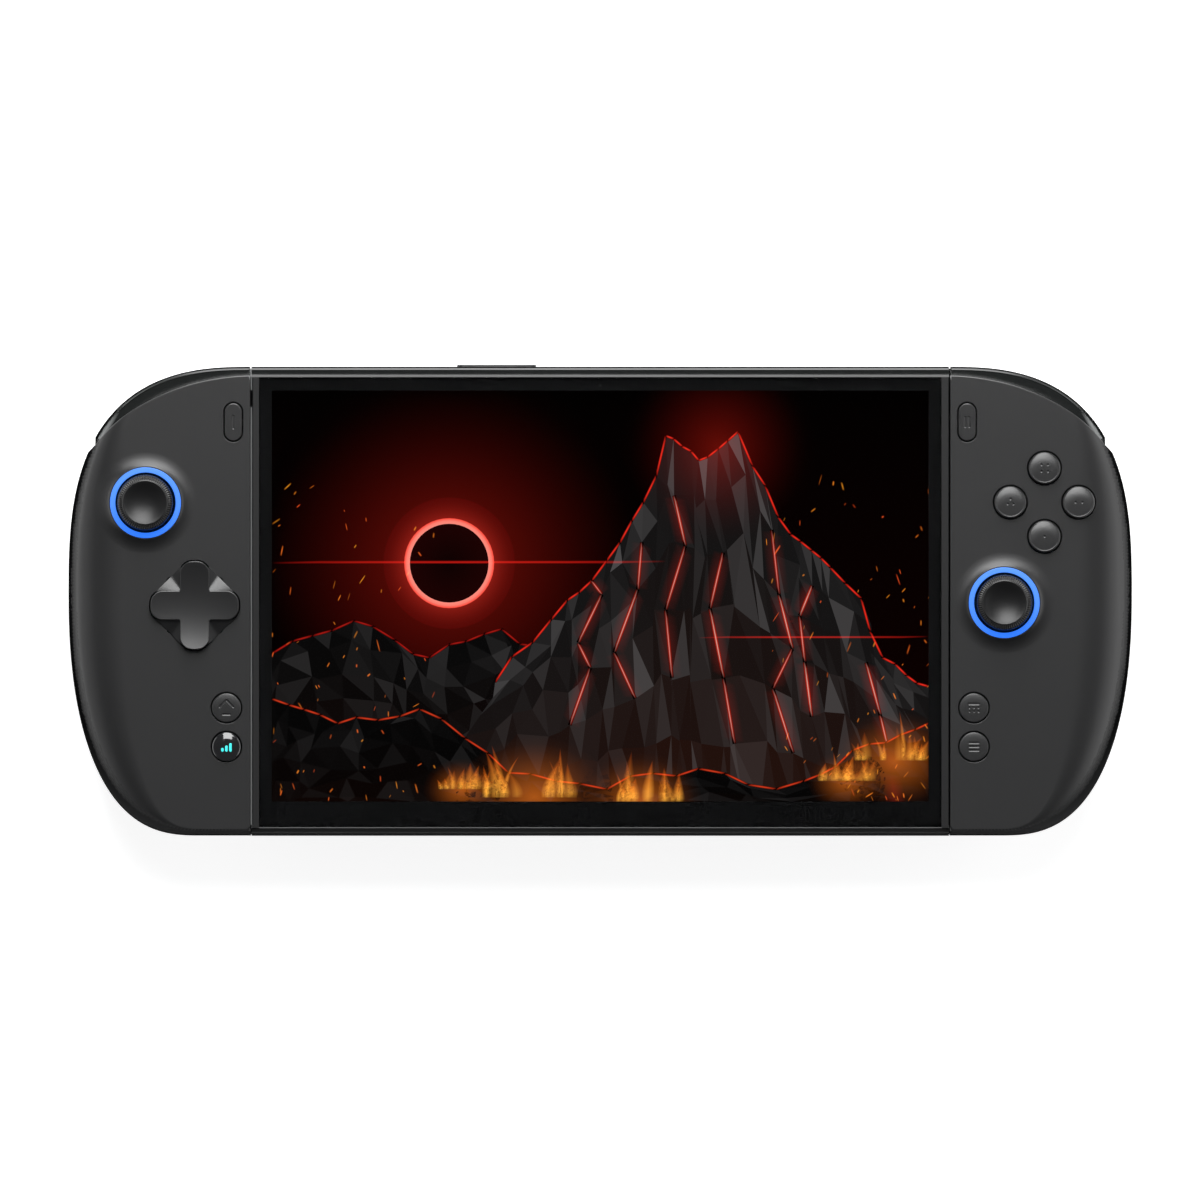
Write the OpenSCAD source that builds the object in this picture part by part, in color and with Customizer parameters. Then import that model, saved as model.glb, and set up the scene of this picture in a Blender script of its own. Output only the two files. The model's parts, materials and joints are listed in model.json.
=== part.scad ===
// Handheld game console: a tablet with a controller docked on each side, lying on its back with the screen up.
// X runs across the screen to the right, Y towards the shoulder buttons and Z out of the screen.
// The origin is on the table, under the middle of the console. All sizes are in millimetres.

/* [Overall] */
// Width across both controllers
overall_w = 306.8; // [300:0.2:316]
// Width of the tablet between the controllers
tablet_w = 201; // [196:0.5:206]
// Height from bottom edge to top edge
body_h = 135.2; // [132:0.2:142]
// Height of the front face above the backs of the grips
face_z = 40; // [38:0.5:44]
// Thickness of the tablet
tablet_t = 20; // [19:0.5:21]
// Gap between the tablet and each controller
seam_gap = 0.3; // [0.15:0.05:0.5]

/* [Screen] */
// Strip of the tablet left beside the cover glass
glass_side = 2.3; // [2:0.1:5.5]
// Strip of the front plate left above and below the cover glass
glass_end = 0.55; // [0.45:0.05:3.15]
// Thickness of the cover glass
glass_t = 1.3; // [1:0.1:1.6]
// Black border beside the lit picture
picture_side = 3.6; // [3.2:0.1:8.2]
// Mean black border above and below the lit picture
picture_end = 5.4; // [4.6:0.1:8.6]
// How far the picture sits above the middle of the glass
picture_up = 1.5; // [0:0.1:2]
// Thickness of the display panel
panel_t = 2.8; // [2.4:0.1:3]

/* [Shells] */
// Wall of the controller shells
wall = 2; // [1.6:0.1:2.4]
// Wall of the tablet frame and rear cover
tablet_wall = 2.2; // [1.8:0.1:2.6]
// How far the front bezel stands above the tablet frame
bezel_t = 2.4; // [2:0.1:2.8]
// Step from the top edge down to the front plates
lip_step = 2.9; // [2.4:0.1:3.4]
// Width of the rounding at the outer edge of the controller face
edge_round_w = 12; // [10:0.5:14]
// Depth of that rounding
edge_round_z = 9; // [7:0.5:10]
// Depth from the front face to the seam between front and rear shell
shell_split = 14; // [13.6:0.1:15]
// Radius of the rounding along the back edges of the tablet
back_round = 4; // [2:0.5:5]

/* [Thumbsticks] */
// Distance of the left stick outwards from the middle of its controller
left_stick_x = 3.9; // [2.7:0.1:4.7]
// Height of the left stick above the middle
left_stick_y = 28.4; // [26:0.1:30]
// Distance of the right stick from the seam
right_stick_x = 15.6; // [15.2:0.1:18]
// Height of the right stick above the middle
right_stick_y = -0.4; // [-3:0.1:2]
// Radius of the stick cap
cap_r = 8; // [7.4:0.1:8.2]
// Outer radius of the light ring
ring_r = 10.2; // [9.8:0.1:10.6]
// Radius of the hole inside the light ring
stick_hole_r = 8.7; // [8.4:0.1:8.9]
// How far the cap stands above the face
cap_proud = 7.2; // [6.8:0.1:8]
// Depth of the tilt centre below the face
tilt_depth = 8; // [7.8:0.1:8.4]

/* [Buttons] */
// Radius of the four face buttons
face_r = 4.65; // [4.2:0.05:4.9]
// Distance of each face button from the middle of the cluster
face_pitch = 9.85; // [9.4:0.05:10.4]
// Distance of the cluster outwards from the middle of its controller
face_x = 0.9; // [-1.3:0.1:1.7]
// Height of the cluster above the middle
face_y = 28.5; // [26:0.1:30]
// How far the face buttons stand above the face
face_proud = 1.7; // [1.4:0.1:2]
// Travel of the face buttons
face_travel = 1.2; // [0.8:0.1:1.3]
// Radius of the four small round buttons
small_r = 4.2; // [3.8:0.05:4.4]
// Distance of the small round buttons from the seam
small_x = 6.55; // [6.4:0.05:8]
// Height of the upper small button
small_y_up = -30.7; // [-32:0.1:-29]
// Height of the lower small button
small_y_low = -41.9; // [-44:0.1:-41]
// Width of the two pill buttons
pill_w = 4.9; // [4.4:0.1:5.4]
// Length of the two pill buttons
pill_l = 10.9; // [9:0.1:12]
// Distance of the pill buttons from the seam
pill_x = 4.9; // [4.7:0.1:6]
// Distance of the pill buttons below the top edge
pill_y = 16; // [15.6:0.1:18.6]
// How far the small and pill buttons stand above the face
small_proud = 0.5; // [0.3:0.1:0.8]
// Travel of the small and pill buttons
small_travel = 0.4; // [0.3:0.1:0.6]
// Play between a button and its hole
button_play = 0.25; // [0.15:0.05:0.35]

/* [Direction pad] */
// Span of the direction pad
pad_span = 25.4; // [24:0.2:26]
// Width of each arm
pad_arm = 8.4; // [7.6:0.1:9]
// Distance of the pad from the seam
pad_x = 16; // [16:0.1:18]
// Height of the pad above the middle
pad_y = -1.2; // [-3:0.1:1]
// How far the pad stands above the face
pad_proud = 2.8; // [2.4:0.1:3.2]

/* [Shoulder controls] */
// Travel of the bumpers, in degrees
bumper_deg = 1.5; // [1:0.1:1.8]
// Travel of the triggers, in degrees
trigger_deg = 14; // [10:1:16]
// Width of the triggers
trigger_w = 25; // [22:0.5:26]

/* [Edge controls and ports] */
// Place of the volume rocker along the top edge
rocker_x = -29.9; // [-34:0.1:-28]
// Length of the volume rocker
rocker_l = 22.8; // [18:0.2:24]
// How far the volume rocker stands above the top edge
rocker_proud = 0.6; // [0.4:0.1:0.9]
// Place of the power button along the top edge
power_x = -4; // [-6:0.5:2]
// Distance of the audio jack from the left end of the tablet
jack_x = 16.5; // [14.5:0.5:20.5]
// Bore radius of the audio jack
jack_r = 1.75; // [1.7:0.05:1.85]
// Distance of the top charging port from the left end of the tablet
port_x = 36.5; // [32.5:0.5:40.5]
// Place of the bottom charging port along the bottom edge
low_port_x = 20; // [10:0.5:24]

/* [Cooling] */
// Place of the fan across the tablet
fan_x = 45; // [42:0.5:48]
// Place of the fan above the middle
fan_y = 27; // [24:0.5:29]
// Radius of the fan wheel
fan_r = 21; // [18:0.5:22]
// Number of fan blades
fan_blades = 17; // [11:1:23]

/* [Hidden] */
$fn = 64;
play = 0.2;
bearing_play = 0.05;
screw_r = 1;
screw_head_r = 2;
screw_head_h = 1.2;
boss_r = 2.8;
seam_x = tablet_w / 2 + seam_gap;
half_h = body_h / 2;
outer_x = overall_w / 2;
middle_x = (seam_x + outer_x) / 2;
plate_under = face_z - wall;
split_z = face_z - shell_split;
widest_z = face_z - edge_round_z;
far = 400;

// Tablet levels
back_z = face_z - tablet_t;
cover_top_z = back_z + 7;
frame_top_z = face_z - bezel_t;
glass_z = face_z - glass_t;
panel_z = glass_z - panel_t;
shelf_t = 1.4;
lip_cover = 0.45;
bezel_h = body_h - 2 * (lip_step - lip_cover);
glass_w = tablet_w - 2 * glass_side;
glass_h = bezel_h - 2 * glass_end;
picture_w = glass_w - 2 * picture_side;
picture_h = glass_h - 2 * picture_end;
panel_w = picture_w + 3;
panel_h = picture_h + 5;
floor_z = back_z + tablet_wall;
jack_at = jack_x - tablet_w / 2;
port_at = port_x - tablet_w / 2;

// Controller levels
board_t = 1.2;
board_z = split_z + 0.8;
board_top = board_z + board_t;
tilt_z = face_z - tilt_depth;
flange_t = 1;
flange_w = 0.8;
flange_top = plate_under - 0.15;

// Outline of a controller seen from the front: two superellipse quadrants that meet at the widest point
mid_y = 2;
low_corner_x = seam_x + 14.7;
top_power = [2.62, 2.88];
low_power = [2.69, 2.27];
lip_power = [1.77, 3.7];
low_round_w = 2;
seam_power = 40;

// Back of the grip: the outline shrinks towards one point
rest_x = outer_x - 20.6;
rest_y = -3;
grip_power = 2.3;
rest_angle = 79;

// Docking plug
plug_l = 7;
plug_h = 48;
plug_z0 = cover_top_z + 0.8;
plug_t = 5.6;
plug_back = seam_x + 4.4;
plug_flange_t = 1.7;
plug_flange_w = 2;

// Insides of a controller
board_in = 4.6;
board_out = 12.6;
board_low = 19.6;
board_high = 20.6;
tab_in = 2.6;
tab_w = 12;
tab_high = 9.4;
tab_gap = 4;
cell_in = 10;
cell_out = 18.6;
cell_l = 34;
cell_y = -22;
cell_t = 6;
motor_x = middle_x - 4.3;
motor_y = 18;
motor_r = 4.4;
motor_l = 20;
motor_drop = 5;

// Trigger and bumper
trigger_x = seam_x + 6.6;
trigger_y = half_h - 13.6;
trigger_z = split_z - 6.5;
trigger_top = split_z - 3;
trigger_pin_r = 1.2;
trigger_pin_l = 1.6;
bumper_end_x = outer_x - 8;
bumper_z = split_z + 0.3;
bumper_top = plate_under - 0.3;
bumper_tuck = 1.2;
bumper_room = 2.2;
bumper_end_room = 1.6;
bumper_pin = [seam_x + 6, half_h - lip_step - 3.2];
bumper_pin_r = 1;

// Thumbstick
dome_r = 9.8;
dome_wall = 0.8;
dome_angle = 55;
shaft_r = 1.5;
hub_r = 3;
hub_h = 3;
gimbal_in = 3.9;
gimbal_out = 5.5;
gimbal_h = 2.2;
gimbal_pin_r = 0.8;
module_w = 13.8;
module_in = 12;
press_travel = 0.5;
collar_h = 0.9;
collar_w = 3.8;

// Direction pad
pad_pivot_z = face_z - 5.4;
pad_pin_r = 0.8;
pad_axle_r = 0.9;
pad_ear_y = pad_span / 2 + 1.6;
pad_ear_r = 2;
pad_ear_t = 2;
pad_leg_x = 3.6;
pad_leg_t = 1.8;

// Places of the controls, measured from the middle with X outwards
left_stick = [middle_x + left_stick_x, left_stick_y];
right_stick = [seam_x + right_stick_x, right_stick_y];
pad = [seam_x + pad_x, pad_y];
cluster = [middle_x + face_x, face_y];
face_places = [for (a = [270, 0, 180, 90]) cluster + face_pitch * [cos(a), sin(a)]];
small_places = [[seam_x + small_x, small_y_up], [seam_x + small_x, small_y_low]];
pill_place = [seam_x + pill_x, half_h - pill_y];
screw_up = 11.5;
screw_in = 7;
corner_share = 0.43;
screw_places = [
    [seam_x + 9, -half_h + screw_up], [mix(low_corner_x, outer_x, corner_share), -half_h + screw_up],
    [outer_x - screw_in, -14], [outer_x - screw_in, 16]
];
// How far each boss for a screw ends below the face, in walls
boss_drops = [0.5, 0.7, 1.8, 1.8];
post_places = [[seam_x + 19, -42], [outer_x - 16.6, -36], [outer_x - 15.1, 9.5], [seam_x + 6.8, 22]];

// Helpers

function mix(a, b, t) = a + (b - a) * t;
function clamp01(t) = min(1, max(0, t));
function smooth(t) = clamp01(t) * clamp01(t) * (3 - 2 * clamp01(t));
function power(base, e) = pow(max(base, 0), e);
function bezier(p, q, r, n) = [for (i = [0:n]) let (t = i / n)
    (1 - t) * (1 - t) * p + 2 * t * (1 - t) * q + t * t * r];

// Left pieces are the mirror image of right ones
module on_side(side) {
    if (side > 0) children();
    else mirror([1, 0, 0]) children();
}

module at(place, z = 0) {
    translate([place[0], place[1], z]) children();
}

module box(low, high) {
    translate(low) cube(high - low);
}

// Rectangle with round corners, centred
module round_rect(w, h, r) {
    square([w - 2 * r, h], center = true);
    square([w, h - 2 * r], center = true);
    for (x = [-1, 1], y = [-1, 1]) translate([x * (w / 2 - r), y * (h / 2 - r)]) circle(r);
}

// Round-ended slot, centred, long along Y; a plain circle where it is as long as it is wide
module stadium(w, l) {
    if (l > w) square([w, l - w], center = true);
    for (y = l > w ? [-1, 1] : [0]) translate([0, y * (l - w) / 2]) circle(w / 2);
}

module plate(w, h, r, z0, z1) {
    translate([0, 0, z0]) linear_extrude(z1 - z0) round_rect(w, h, r);
}

// Flat bar with round ends between two points
module bar(from, to, w) {
    way = to - from;
    translate((from + to) / 2) rotate(atan2(way[1], way[0]) - 90) stadium(w, norm(way) + w);
}

// Controller form

// One quadrant of a ring: centre, half axes, powers and the list of angles
function quadrant(c, a, b, p, angles) = [for (t = angles)
    c + [a * power(cos(t), 2 / p[0]), b * power(sin(t), 2 / p[1])]];
function steps(n) = [for (i = [0:n - 1]) 90 * i / n];
function backwards(n) = [for (i = [0:n - 1]) 90 - 90 * i / n];

// Ring of points round the controller. cut is how far the outer, top, low and inner sides are drawn in,
// shape goes from 0, the outline, to 1, a plain oval.
function ring(cut, shape, n) =
    let (
        inner = seam_x - 1.4 + cut[3],
        out = outer_x - cut[0],
        top = half_h - cut[1],
        low = -half_h + cut[2],
        middle = (inner + out) / 2,
        oval = [2.3, 2.3],
        top_x = mix(max(seam_x, inner + 0.5), middle, shape),
        low_x = mix(low_corner_x, middle, shape),
        top_p = mix(top_power, oval, shape),
        low_p = mix(low_power, oval, shape),
        in_p = mix([seam_power, seam_power], oval, sqrt(shape)),
        m = floor(n / 3)
    )
    concat(
        quadrant([top_x, mid_y], out - top_x, top - mid_y, top_p, steps(n)),
        quadrant([top_x, mid_y], inner - top_x, top - mid_y, in_p, backwards(m)),
        quadrant([low_x, mid_y], inner - low_x, low - mid_y, in_p, steps(m)),
        quadrant([low_x, mid_y], out - low_x, low - mid_y, low_p, backwards(n))
    );

function shrink(points, share) = [for (p = points) mix([rest_x, rest_y], p, share)];
function lift(points, z) = [for (p = points) [p[0], p[1], z]];

// Rings from the back of the grip to the front face, all drawn in by inset
function form_rings(inset, seam_inset, n, back_n, front_n) =
    let (
        cut = [inset, inset, inset, seam_inset],
        tip = power(sin(rest_angle), 2 / grip_power)
    )
    concat(
        [for (i = [back_n:-1:1]) let (
            a = rest_angle * i / back_n,
            share = power(cos(a), 2 / grip_power),
            z = widest_z - (widest_z - inset) * power(sin(a), 2 / grip_power) / tip,
            shape = smooth((0.97 - share) / 0.5)
        ) lift(shrink(ring(cut, shape, n), share), z)],
        [for (i = [0:front_n]) let (
            a = 90 * i / front_n,
            k = 1 - cos(a),
            z = widest_z + (face_z - inset - widest_z) * sin(a),
            round_cut = [edge_round_w * k, lip_step * k, low_round_w * k, 0]
        ) lift(ring(cut + round_cut, 0, n), z)]
    );

// Closed solid through a stack of rings
module loft(rings) {
    n = len(rings[0]);
    m = len(rings);
    points = [for (r = rings) each r];
    sides = [for (j = [0:m - 2], i = [0:n - 1]) let (
        a = j * n + i, b = j * n + (i + 1) % n, c = a + n, d = b + n
    ) each [[a, c, b], [b, c, d]]];
    bottom = [for (i = [0:n - 1]) i];
    top = [for (i = [n - 1:-1:0]) (m - 1) * n + i];
    polyhedron(points, concat(sides, [bottom, top]), convexity = 6);
}

module grip_form() {
    intersection() {
        loft(form_rings(0, 0, 20, 9, 6));
        box([seam_x, -far, -1], [far, far, far]);
    }
}

module grip_hollow() {
    loft(form_rings(wall, wall + 1.4, 11, 6, 4));
}

// Half space in front of or behind the seam between the shells
module above(z) { box([0, -far, z], [far, far, far]); }
module below(z) { box([0, -far, -far], [far, far, z]); }

// Area outside the lip line of the front shell, drawn in by tuck, up to the end of the bumper
function lip_line(tuck, n) = let (p = quadrant(
        [seam_x, mid_y], outer_x - seam_x, half_h - lip_step - mid_y, lip_power, backwards(n)))
    [for (q = p) if (q[0] < bumper_end_x) q - [0, tuck]];

module shoulder_area(tuck, end_gap) {
    line = lip_line(tuck, 40);
    last = line[len(line) - 1] - [end_gap, 0];
    kept = [for (q = line) if (q[0] < last[0]) q];
    polygon(concat(
        [[seam_x - 5, line[0][1]]], kept, [last, last + [30, -30], [far, far], [seam_x - 5, far]]));
}

module shoulder_prism(tuck, end_gap, z0, z1) {
    translate([0, 0, z0]) linear_extrude(z1 - z0) shoulder_area(tuck, end_gap);
}

// Corner left open in the outline between the end of the bumper and the slanting end of the lip
bumper_stop_x = bumper_end_x + 0.2;
lip_points = lip_line(0, 40);
lip_end = lip_points[len(lip_points) - 1];
module outline_notch() {
    corner = [bumper_stop_x, lip_end[1] + lip_end[0] - bumper_stop_x];
    translate([0, 0, -1]) linear_extrude(face_z)
        polygon([corner, corner + [30, -30], [far, far], [corner[0], far]]);
}

// Controller shells

// Flared collar that carries the light ring
module collar() {
    rise = collar_h + 1.2;
    curve = bezier([ring_r + collar_w, 0], [ring_r + 1.4, 0.05], [ring_r + 0.3, collar_h], 8);
    rotate_extrude() polygon(concat(
        [[stick_hole_r, -rise + 0.2], [ring_r + collar_w, -rise + 0.2]], curve, [[stick_hole_r, collar_h]]));
}

module stick_opening() {
    translate([0, 0, -8]) cylinder(r = stick_hole_r, h = 12);
    translate([0, 0, -1]) cylinder(r = ring_r + bearing_play, h = 4);
}

module round_opening(r) {
    translate([0, 0, plate_under - 1]) cylinder(r = r + button_play, h = wall + 4);
}

// Room under a curving face for the flange of a button
module flange_pocket(r) {
    deep = 4;
    translate([0, 0, plate_under - deep]) cylinder(r = r + flange_w + button_play, h = deep - bearing_play);
}

module pill_opening() {
    translate([0, 0, plate_under - 1]) linear_extrude(wall + 4)
        stadium(pill_w + 2 * button_play, pill_l + 2 * button_play);
}

// Opening through both seam walls for the docking plug
module plug_slot(gap) {
    half = plug_h / 2 + gap;
    box([seam_x - 20, -half, plug_z0 - gap], [seam_x + 4, half, plug_z0 + plug_t + gap]);
}

// Shell, posts and screw bosses that both front shells share, before the openings of their controls
module front_blank(stick) {
    difference() {
        union() {
            intersection() {
                difference() {
                    grip_form();
                    grip_hollow();
                }
                above(split_z);
            }
            at(stick, face_z) collar();
            for (i = [0:len(screw_places) - 1])
                at(screw_places[i], split_z) cylinder(r = boss_r, h = shell_split - boss_drops[i] * wall);
            for (p = post_places) at(p, board_top) cylinder(r = 1.8, h = plate_under - board_top + wall / 2);
            at(bumper_pin, bumper_z) cylinder(r = bumper_pin_r, h = plate_under - bumper_z + wall / 2);
        }
        difference() {
            union() {
                shoulder_prism(0, 0, split_z - 1, face_z + 5);
                shoulder_prism(bumper_tuck + bumper_room, -bumper_end_room, split_z - 1, plate_under);
            }
            at(bumper_pin) cylinder(r = bumper_pin_r, h = plate_under);
        }
        at(stick, face_z) stick_opening();
        for (p = screw_places) at(p, split_z - 1) cylinder(r = screw_r - 0.1, h = 9);
        at(pill_place) pill_opening();
        for (p = small_places) at(p) round_opening(small_r);
        plug_slot(bearing_play);
    }
}

// Ears under the left face that carry the axle of the direction pad
module pad_ears() {
    rise = plate_under - pad_pivot_z + wall / 2;
    for (s = [-1, 1]) at(pad + [0, s * pad_ear_y], pad_pivot_z) rotate([90, 0, 0]) difference() {
        union() {
            cylinder(r = pad_ear_r, h = pad_ear_t, center = true);
            box([-pad_ear_r, 0, -pad_ear_t / 2], [pad_ear_r, rise, pad_ear_t / 2]);
        }
        cylinder(r = pad_axle_r + bearing_play, h = 4 * pad_ear_t, center = true);
    }
}

module left_front_shell() {
    color("#3b3b3c") on_side(-1) union() {
        difference() {
            front_blank(left_stick);
            at(pad, plate_under - 2) linear_extrude(wall + 5) offset(delta = 0.45) pad_rim();
        }
        pad_ears();
    }
}

module right_front_shell() {
    color("#3b3b3c") difference() {
        front_blank(right_stick);
        for (p = face_places) at(p) {
            round_opening(face_r);
            flange_pocket(face_r);
        }
    }
}

// Pocket that holds the trigger
module trigger_pocket(grow) {
    box([trigger_x - 0.4 - grow, trigger_y - 9.5 - grow, -1],
        [trigger_x + trigger_w + 0.4 + grow, far, trigger_top + 0.6 + grow]);
}

module screw_hole(top) {
    translate([0, 0, -5]) cylinder(r = screw_head_r + play, h = top + 5);
    cylinder(r = screw_r + play, h = far);
}

module rear_shell_form() {
    head_z = split_z - 4;
    difference() {
        union() {
            intersection() {
                difference() {
                    grip_form();
                    grip_hollow();
                }
                below(split_z);
            }
            intersection() {
                grip_form();
                below(split_z);
                union() {
                    trigger_pocket(2.2);
                    for (p = screw_places) at(p) cylinder(r = 3.6, h = far);
                }
            }
        }
        trigger_pocket(0);
        outline_notch();
        translate([trigger_x - 3, trigger_y, trigger_z]) rotate([0, 90, 0])
            cylinder(r = trigger_pin_r + bearing_play, h = trigger_w + 6);
        for (p = screw_places) at(p) screw_hole(head_z);
    }
}

module left_rear_shell() { color("#232324") on_side(-1) rear_shell_form(); }
module right_rear_shell() { color("#232324") rear_shell_form(); }

module controller_screws() {
    for (p = screw_places) at(p, split_z - 4) {
        difference() {
            translate([0, 0, -screw_head_h]) cylinder(r = screw_head_r, h = screw_head_h);
            translate([0, 0, -screw_head_h - 0.1]) cylinder(r = 0.9, h = 0.8, $fn = 6);
        }
        cylinder(r = screw_r - 0.15, h = 11);
    }
}

module left_screws() { color("#77787a") on_side(-1) controller_screws(); }
module right_screws() { color("#77787a") controller_screws(); }

// Controller insides

// Board with a tab above and a tab below the docking plug
module board_outline() {
    low = -half_h + board_low;
    high = half_h - board_high;
    tab_y = plug_h / 2 + tab_gap;
    translate([seam_x + board_in, low]) square([outer_x - board_out - seam_x - board_in, high - low]);
    translate([seam_x + tab_in, tab_y]) square([tab_w, half_h - tab_high - tab_y]);
    translate([seam_x + tab_in, low]) square([tab_w, -tab_y - low]);
}

module controller_board() {
    difference() {
        translate([0, 0, board_z]) linear_extrude(board_t) board_outline();
        at(bumper_pin, 0) cylinder(r = 3.4, h = far);
    }
}

module left_board() { color("#1d4030") on_side(-1) controller_board(); }
module right_board() { color("#1d4030") controller_board(); }

module cell_form() {
    w = outer_x - cell_out - seam_x - cell_in;
    translate([seam_x + cell_in + w / 2, cell_y, 0]) plate(w, cell_l, 2, board_z - cell_t, board_z);
}

module left_cell() { color("#8f9296") on_side(-1) cell_form(); }
module right_cell() { color("#8f9296") cell_form(); }

module motor_form() {
    translate([motor_x, motor_y, board_z - motor_drop]) union() {
        rotate([90, 0, 0]) cylinder(r = motor_r, h = motor_l, center = true);
        box([-motor_r, -motor_l / 2, 0], [motor_r, motor_l / 2, motor_drop]);
    }
}

module left_motor() { color("#9a9ca0") on_side(-1) motor_form(); }
module right_motor() { color("#9a9ca0") motor_form(); }

// Square housing of a thumbstick, with the bores for the gimbal pins
module module_form(stick) {
    at(stick) difference() {
        plate(module_w, module_w, 1, board_top, tilt_z + 1.7);
        box([-module_in / 2, -module_in / 2, board_top + 0.8], [module_in / 2, module_in / 2, far]);
        translate([0, 0, tilt_z]) rotate([0, 90, 0])
            cylinder(r = gimbal_pin_r + bearing_play, h = far, center = true);
    }
}

module left_stick_module() { color("#2c2d30") on_side(-1) module_form(left_stick); }
module right_stick_module() { color("#2c2d30") module_form(right_stick); }

module gimbal_form(stick) {
    at(stick, tilt_z) difference() {
        union() {
            cylinder(r = gimbal_out, h = gimbal_h, center = true);
            rotate([0, 90, 0]) cylinder(r = gimbal_pin_r, h = module_w - 0.4, center = true);
        }
        cylinder(r = gimbal_in, h = 10, center = true);
        rotate([90, 0, 0]) cylinder(r = gimbal_pin_r + bearing_play, h = 20, center = true);
    }
}

module left_stick_gimbal() { color("#c9cbcd") on_side(-1) gimbal_form(left_stick); }
module right_stick_gimbal() { color("#c9cbcd") gimbal_form(right_stick); }

module hub_form(stick) {
    at(stick, tilt_z) difference() {
        union() {
            cylinder(r = hub_r, h = hub_h, center = true);
            rotate([90, 0, 0]) cylinder(r = gimbal_pin_r, h = 2 * gimbal_out - 0.6, center = true);
        }
        cylinder(r = shaft_r + bearing_play, h = 10, center = true);
    }
}

module left_stick_hub() { color("#e2e3e4") on_side(-1) hub_form(left_stick); }
module right_stick_hub() { color("#e2e3e4") hub_form(right_stick); }

// Rubber cap with a dished top, on a dome centred on the tilt point and a shaft
module stick_form(stick) {
    cap_t = 2.6;
    cap_top = tilt_depth + cap_proud;
    dish_r = 16;
    dish_w = cap_r - 2;
    dish_deep = dish_r - sqrt(dish_r * dish_r - dish_w * dish_w);
    at(stick, tilt_z) union() {
        difference() {
            union() {
                translate([0, 0, cap_top - cap_t]) cylinder(r = cap_r, h = cap_t - 0.6);
                translate([0, 0, cap_top - 0.6]) cylinder(r1 = cap_r, r2 = cap_r - 0.6, h = 0.6);
            }
            translate([0, 0, cap_top + dish_r - dish_deep]) sphere(dish_r);
        }
        translate([0, 0, dome_r - 1]) cylinder(r = 4, h = cap_top - cap_t - dome_r + 1);
        difference() {
            sphere(dome_r);
            sphere(dome_r - dome_wall);
            translate([0, 0, -far + dome_r * cos(dome_angle)]) cube(2 * far, center = true);
        }
        translate([0, 0, -hub_h / 2 - 0.6]) cylinder(r = shaft_r, h = dome_r + hub_h / 2);
    }
}

module left_stick() { color("#161617") on_side(-1) stick_form(left_stick); }
module right_stick() { color("#161617") stick_form(right_stick); }

module light_ring_form(stick) {
    at(stick, face_z - 1) difference() {
        cylinder(r = ring_r, h = 1 + collar_h);
        translate([0, 0, -1]) cylinder(r = stick_hole_r, h = 5);
    }
}

module left_light_ring() { color("#2f7bff") on_side(-1) light_ring_form(left_stick); }
module right_light_ring() { color("#2f7bff") light_ring_form(right_stick); }

// Silicone domes under the buttons, drawn at their pressed height
function stem_low() = board_top + 3;

module keypad_pad(place, r, travel) {
    at(place, board_top) cylinder(r1 = r + 0.6, r2 = r - 0.4, h = stem_low() - travel - play - board_top);
}

module keypad_common() {
    for (p = small_places) keypad_pad(p, 2.4, small_travel);
    keypad_pad(pill_place, 2, small_travel);
    at([seam_x + small_x, (small_y_up + small_y_low) / 2])
        plate(4, small_y_up - small_y_low, 1.9, board_top, board_top + 0.8);
}

module left_keypad() { color("#6d7073") on_side(-1) keypad_common(); }

module right_keypad() {
    color("#6d7073") union() {
        keypad_common();
        for (p = face_places) keypad_pad(p, 3, face_travel);
        at(cluster) plate(2 * face_pitch, 4, 1.9, board_top, board_top + 0.8);
        at(cluster) plate(4, 2 * face_pitch, 1.9, board_top, board_top + 0.8);
    }
}

// Tongue of a controller that enters the tablet
module plug_form() {
    half = plug_h / 2 + plug_flange_w;
    box([seam_x - seam_gap - plug_l, -plug_h / 2, plug_z0], [plug_back, plug_h / 2, plug_z0 + plug_t]);
    box([plug_back - plug_flange_t, -half, plug_z0 - 1], [plug_back, half, plug_z0 + plug_t + 1]);
}

module left_dock_plug() { color("#1a1a1b") on_side(-1) plug_form(); }
module right_dock_plug() { color("#1a1a1b") plug_form(); }

// Shoulder controls

module bumper_form() {
    difference() {
        union() {
            intersection() {
                grip_form();
                shoulder_prism(bumper_tuck, bumper_end_x - bumper_stop_x - 1, bumper_z, bumper_top);
                box([seam_x + play, lip_end[1] - bumper_tuck, 0], [bumper_stop_x, far, far]);
            }
            at(bumper_pin, bumper_z + 1.5) cylinder(r = 2.6, h = bumper_top - bumper_z - 1.5);
            box([bumper_pin[0] - 2.2, bumper_pin[1], bumper_z + 1.5],
                [bumper_pin[0] + 2.2, half_h - lip_step, bumper_top]);
        }
        at(bumper_pin) cylinder(r = bumper_pin_r + bearing_play, h = far);
    }
}

module left_bumper() { color("#141617") on_side(-1) bumper_form(); }
module right_bumper() { color("#141617") bumper_form(); }

// Side profile of a trigger in Y and Z, round about its pin, with a hollowed finger face and a flared tip
module trigger_profile() {
    hub = 3;
    crest = half_h - 1.2;
    tip_z = 4.6;
    face = bezier([crest, trigger_top], [crest - 6.5, trigger_z - 5], [crest - 3.2, tip_z], 10);
    back = bezier([crest - 6.6, tip_z - 0.6], [trigger_y - 1, trigger_z - 8], [trigger_y - hub, trigger_z], 8);
    round_end = [for (a = [165:-15:90]) [trigger_y, trigger_z] + hub * [cos(a), sin(a)]];
    polygon(concat(face, back, round_end, [[crest - 4, trigger_top]]));
}

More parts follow.
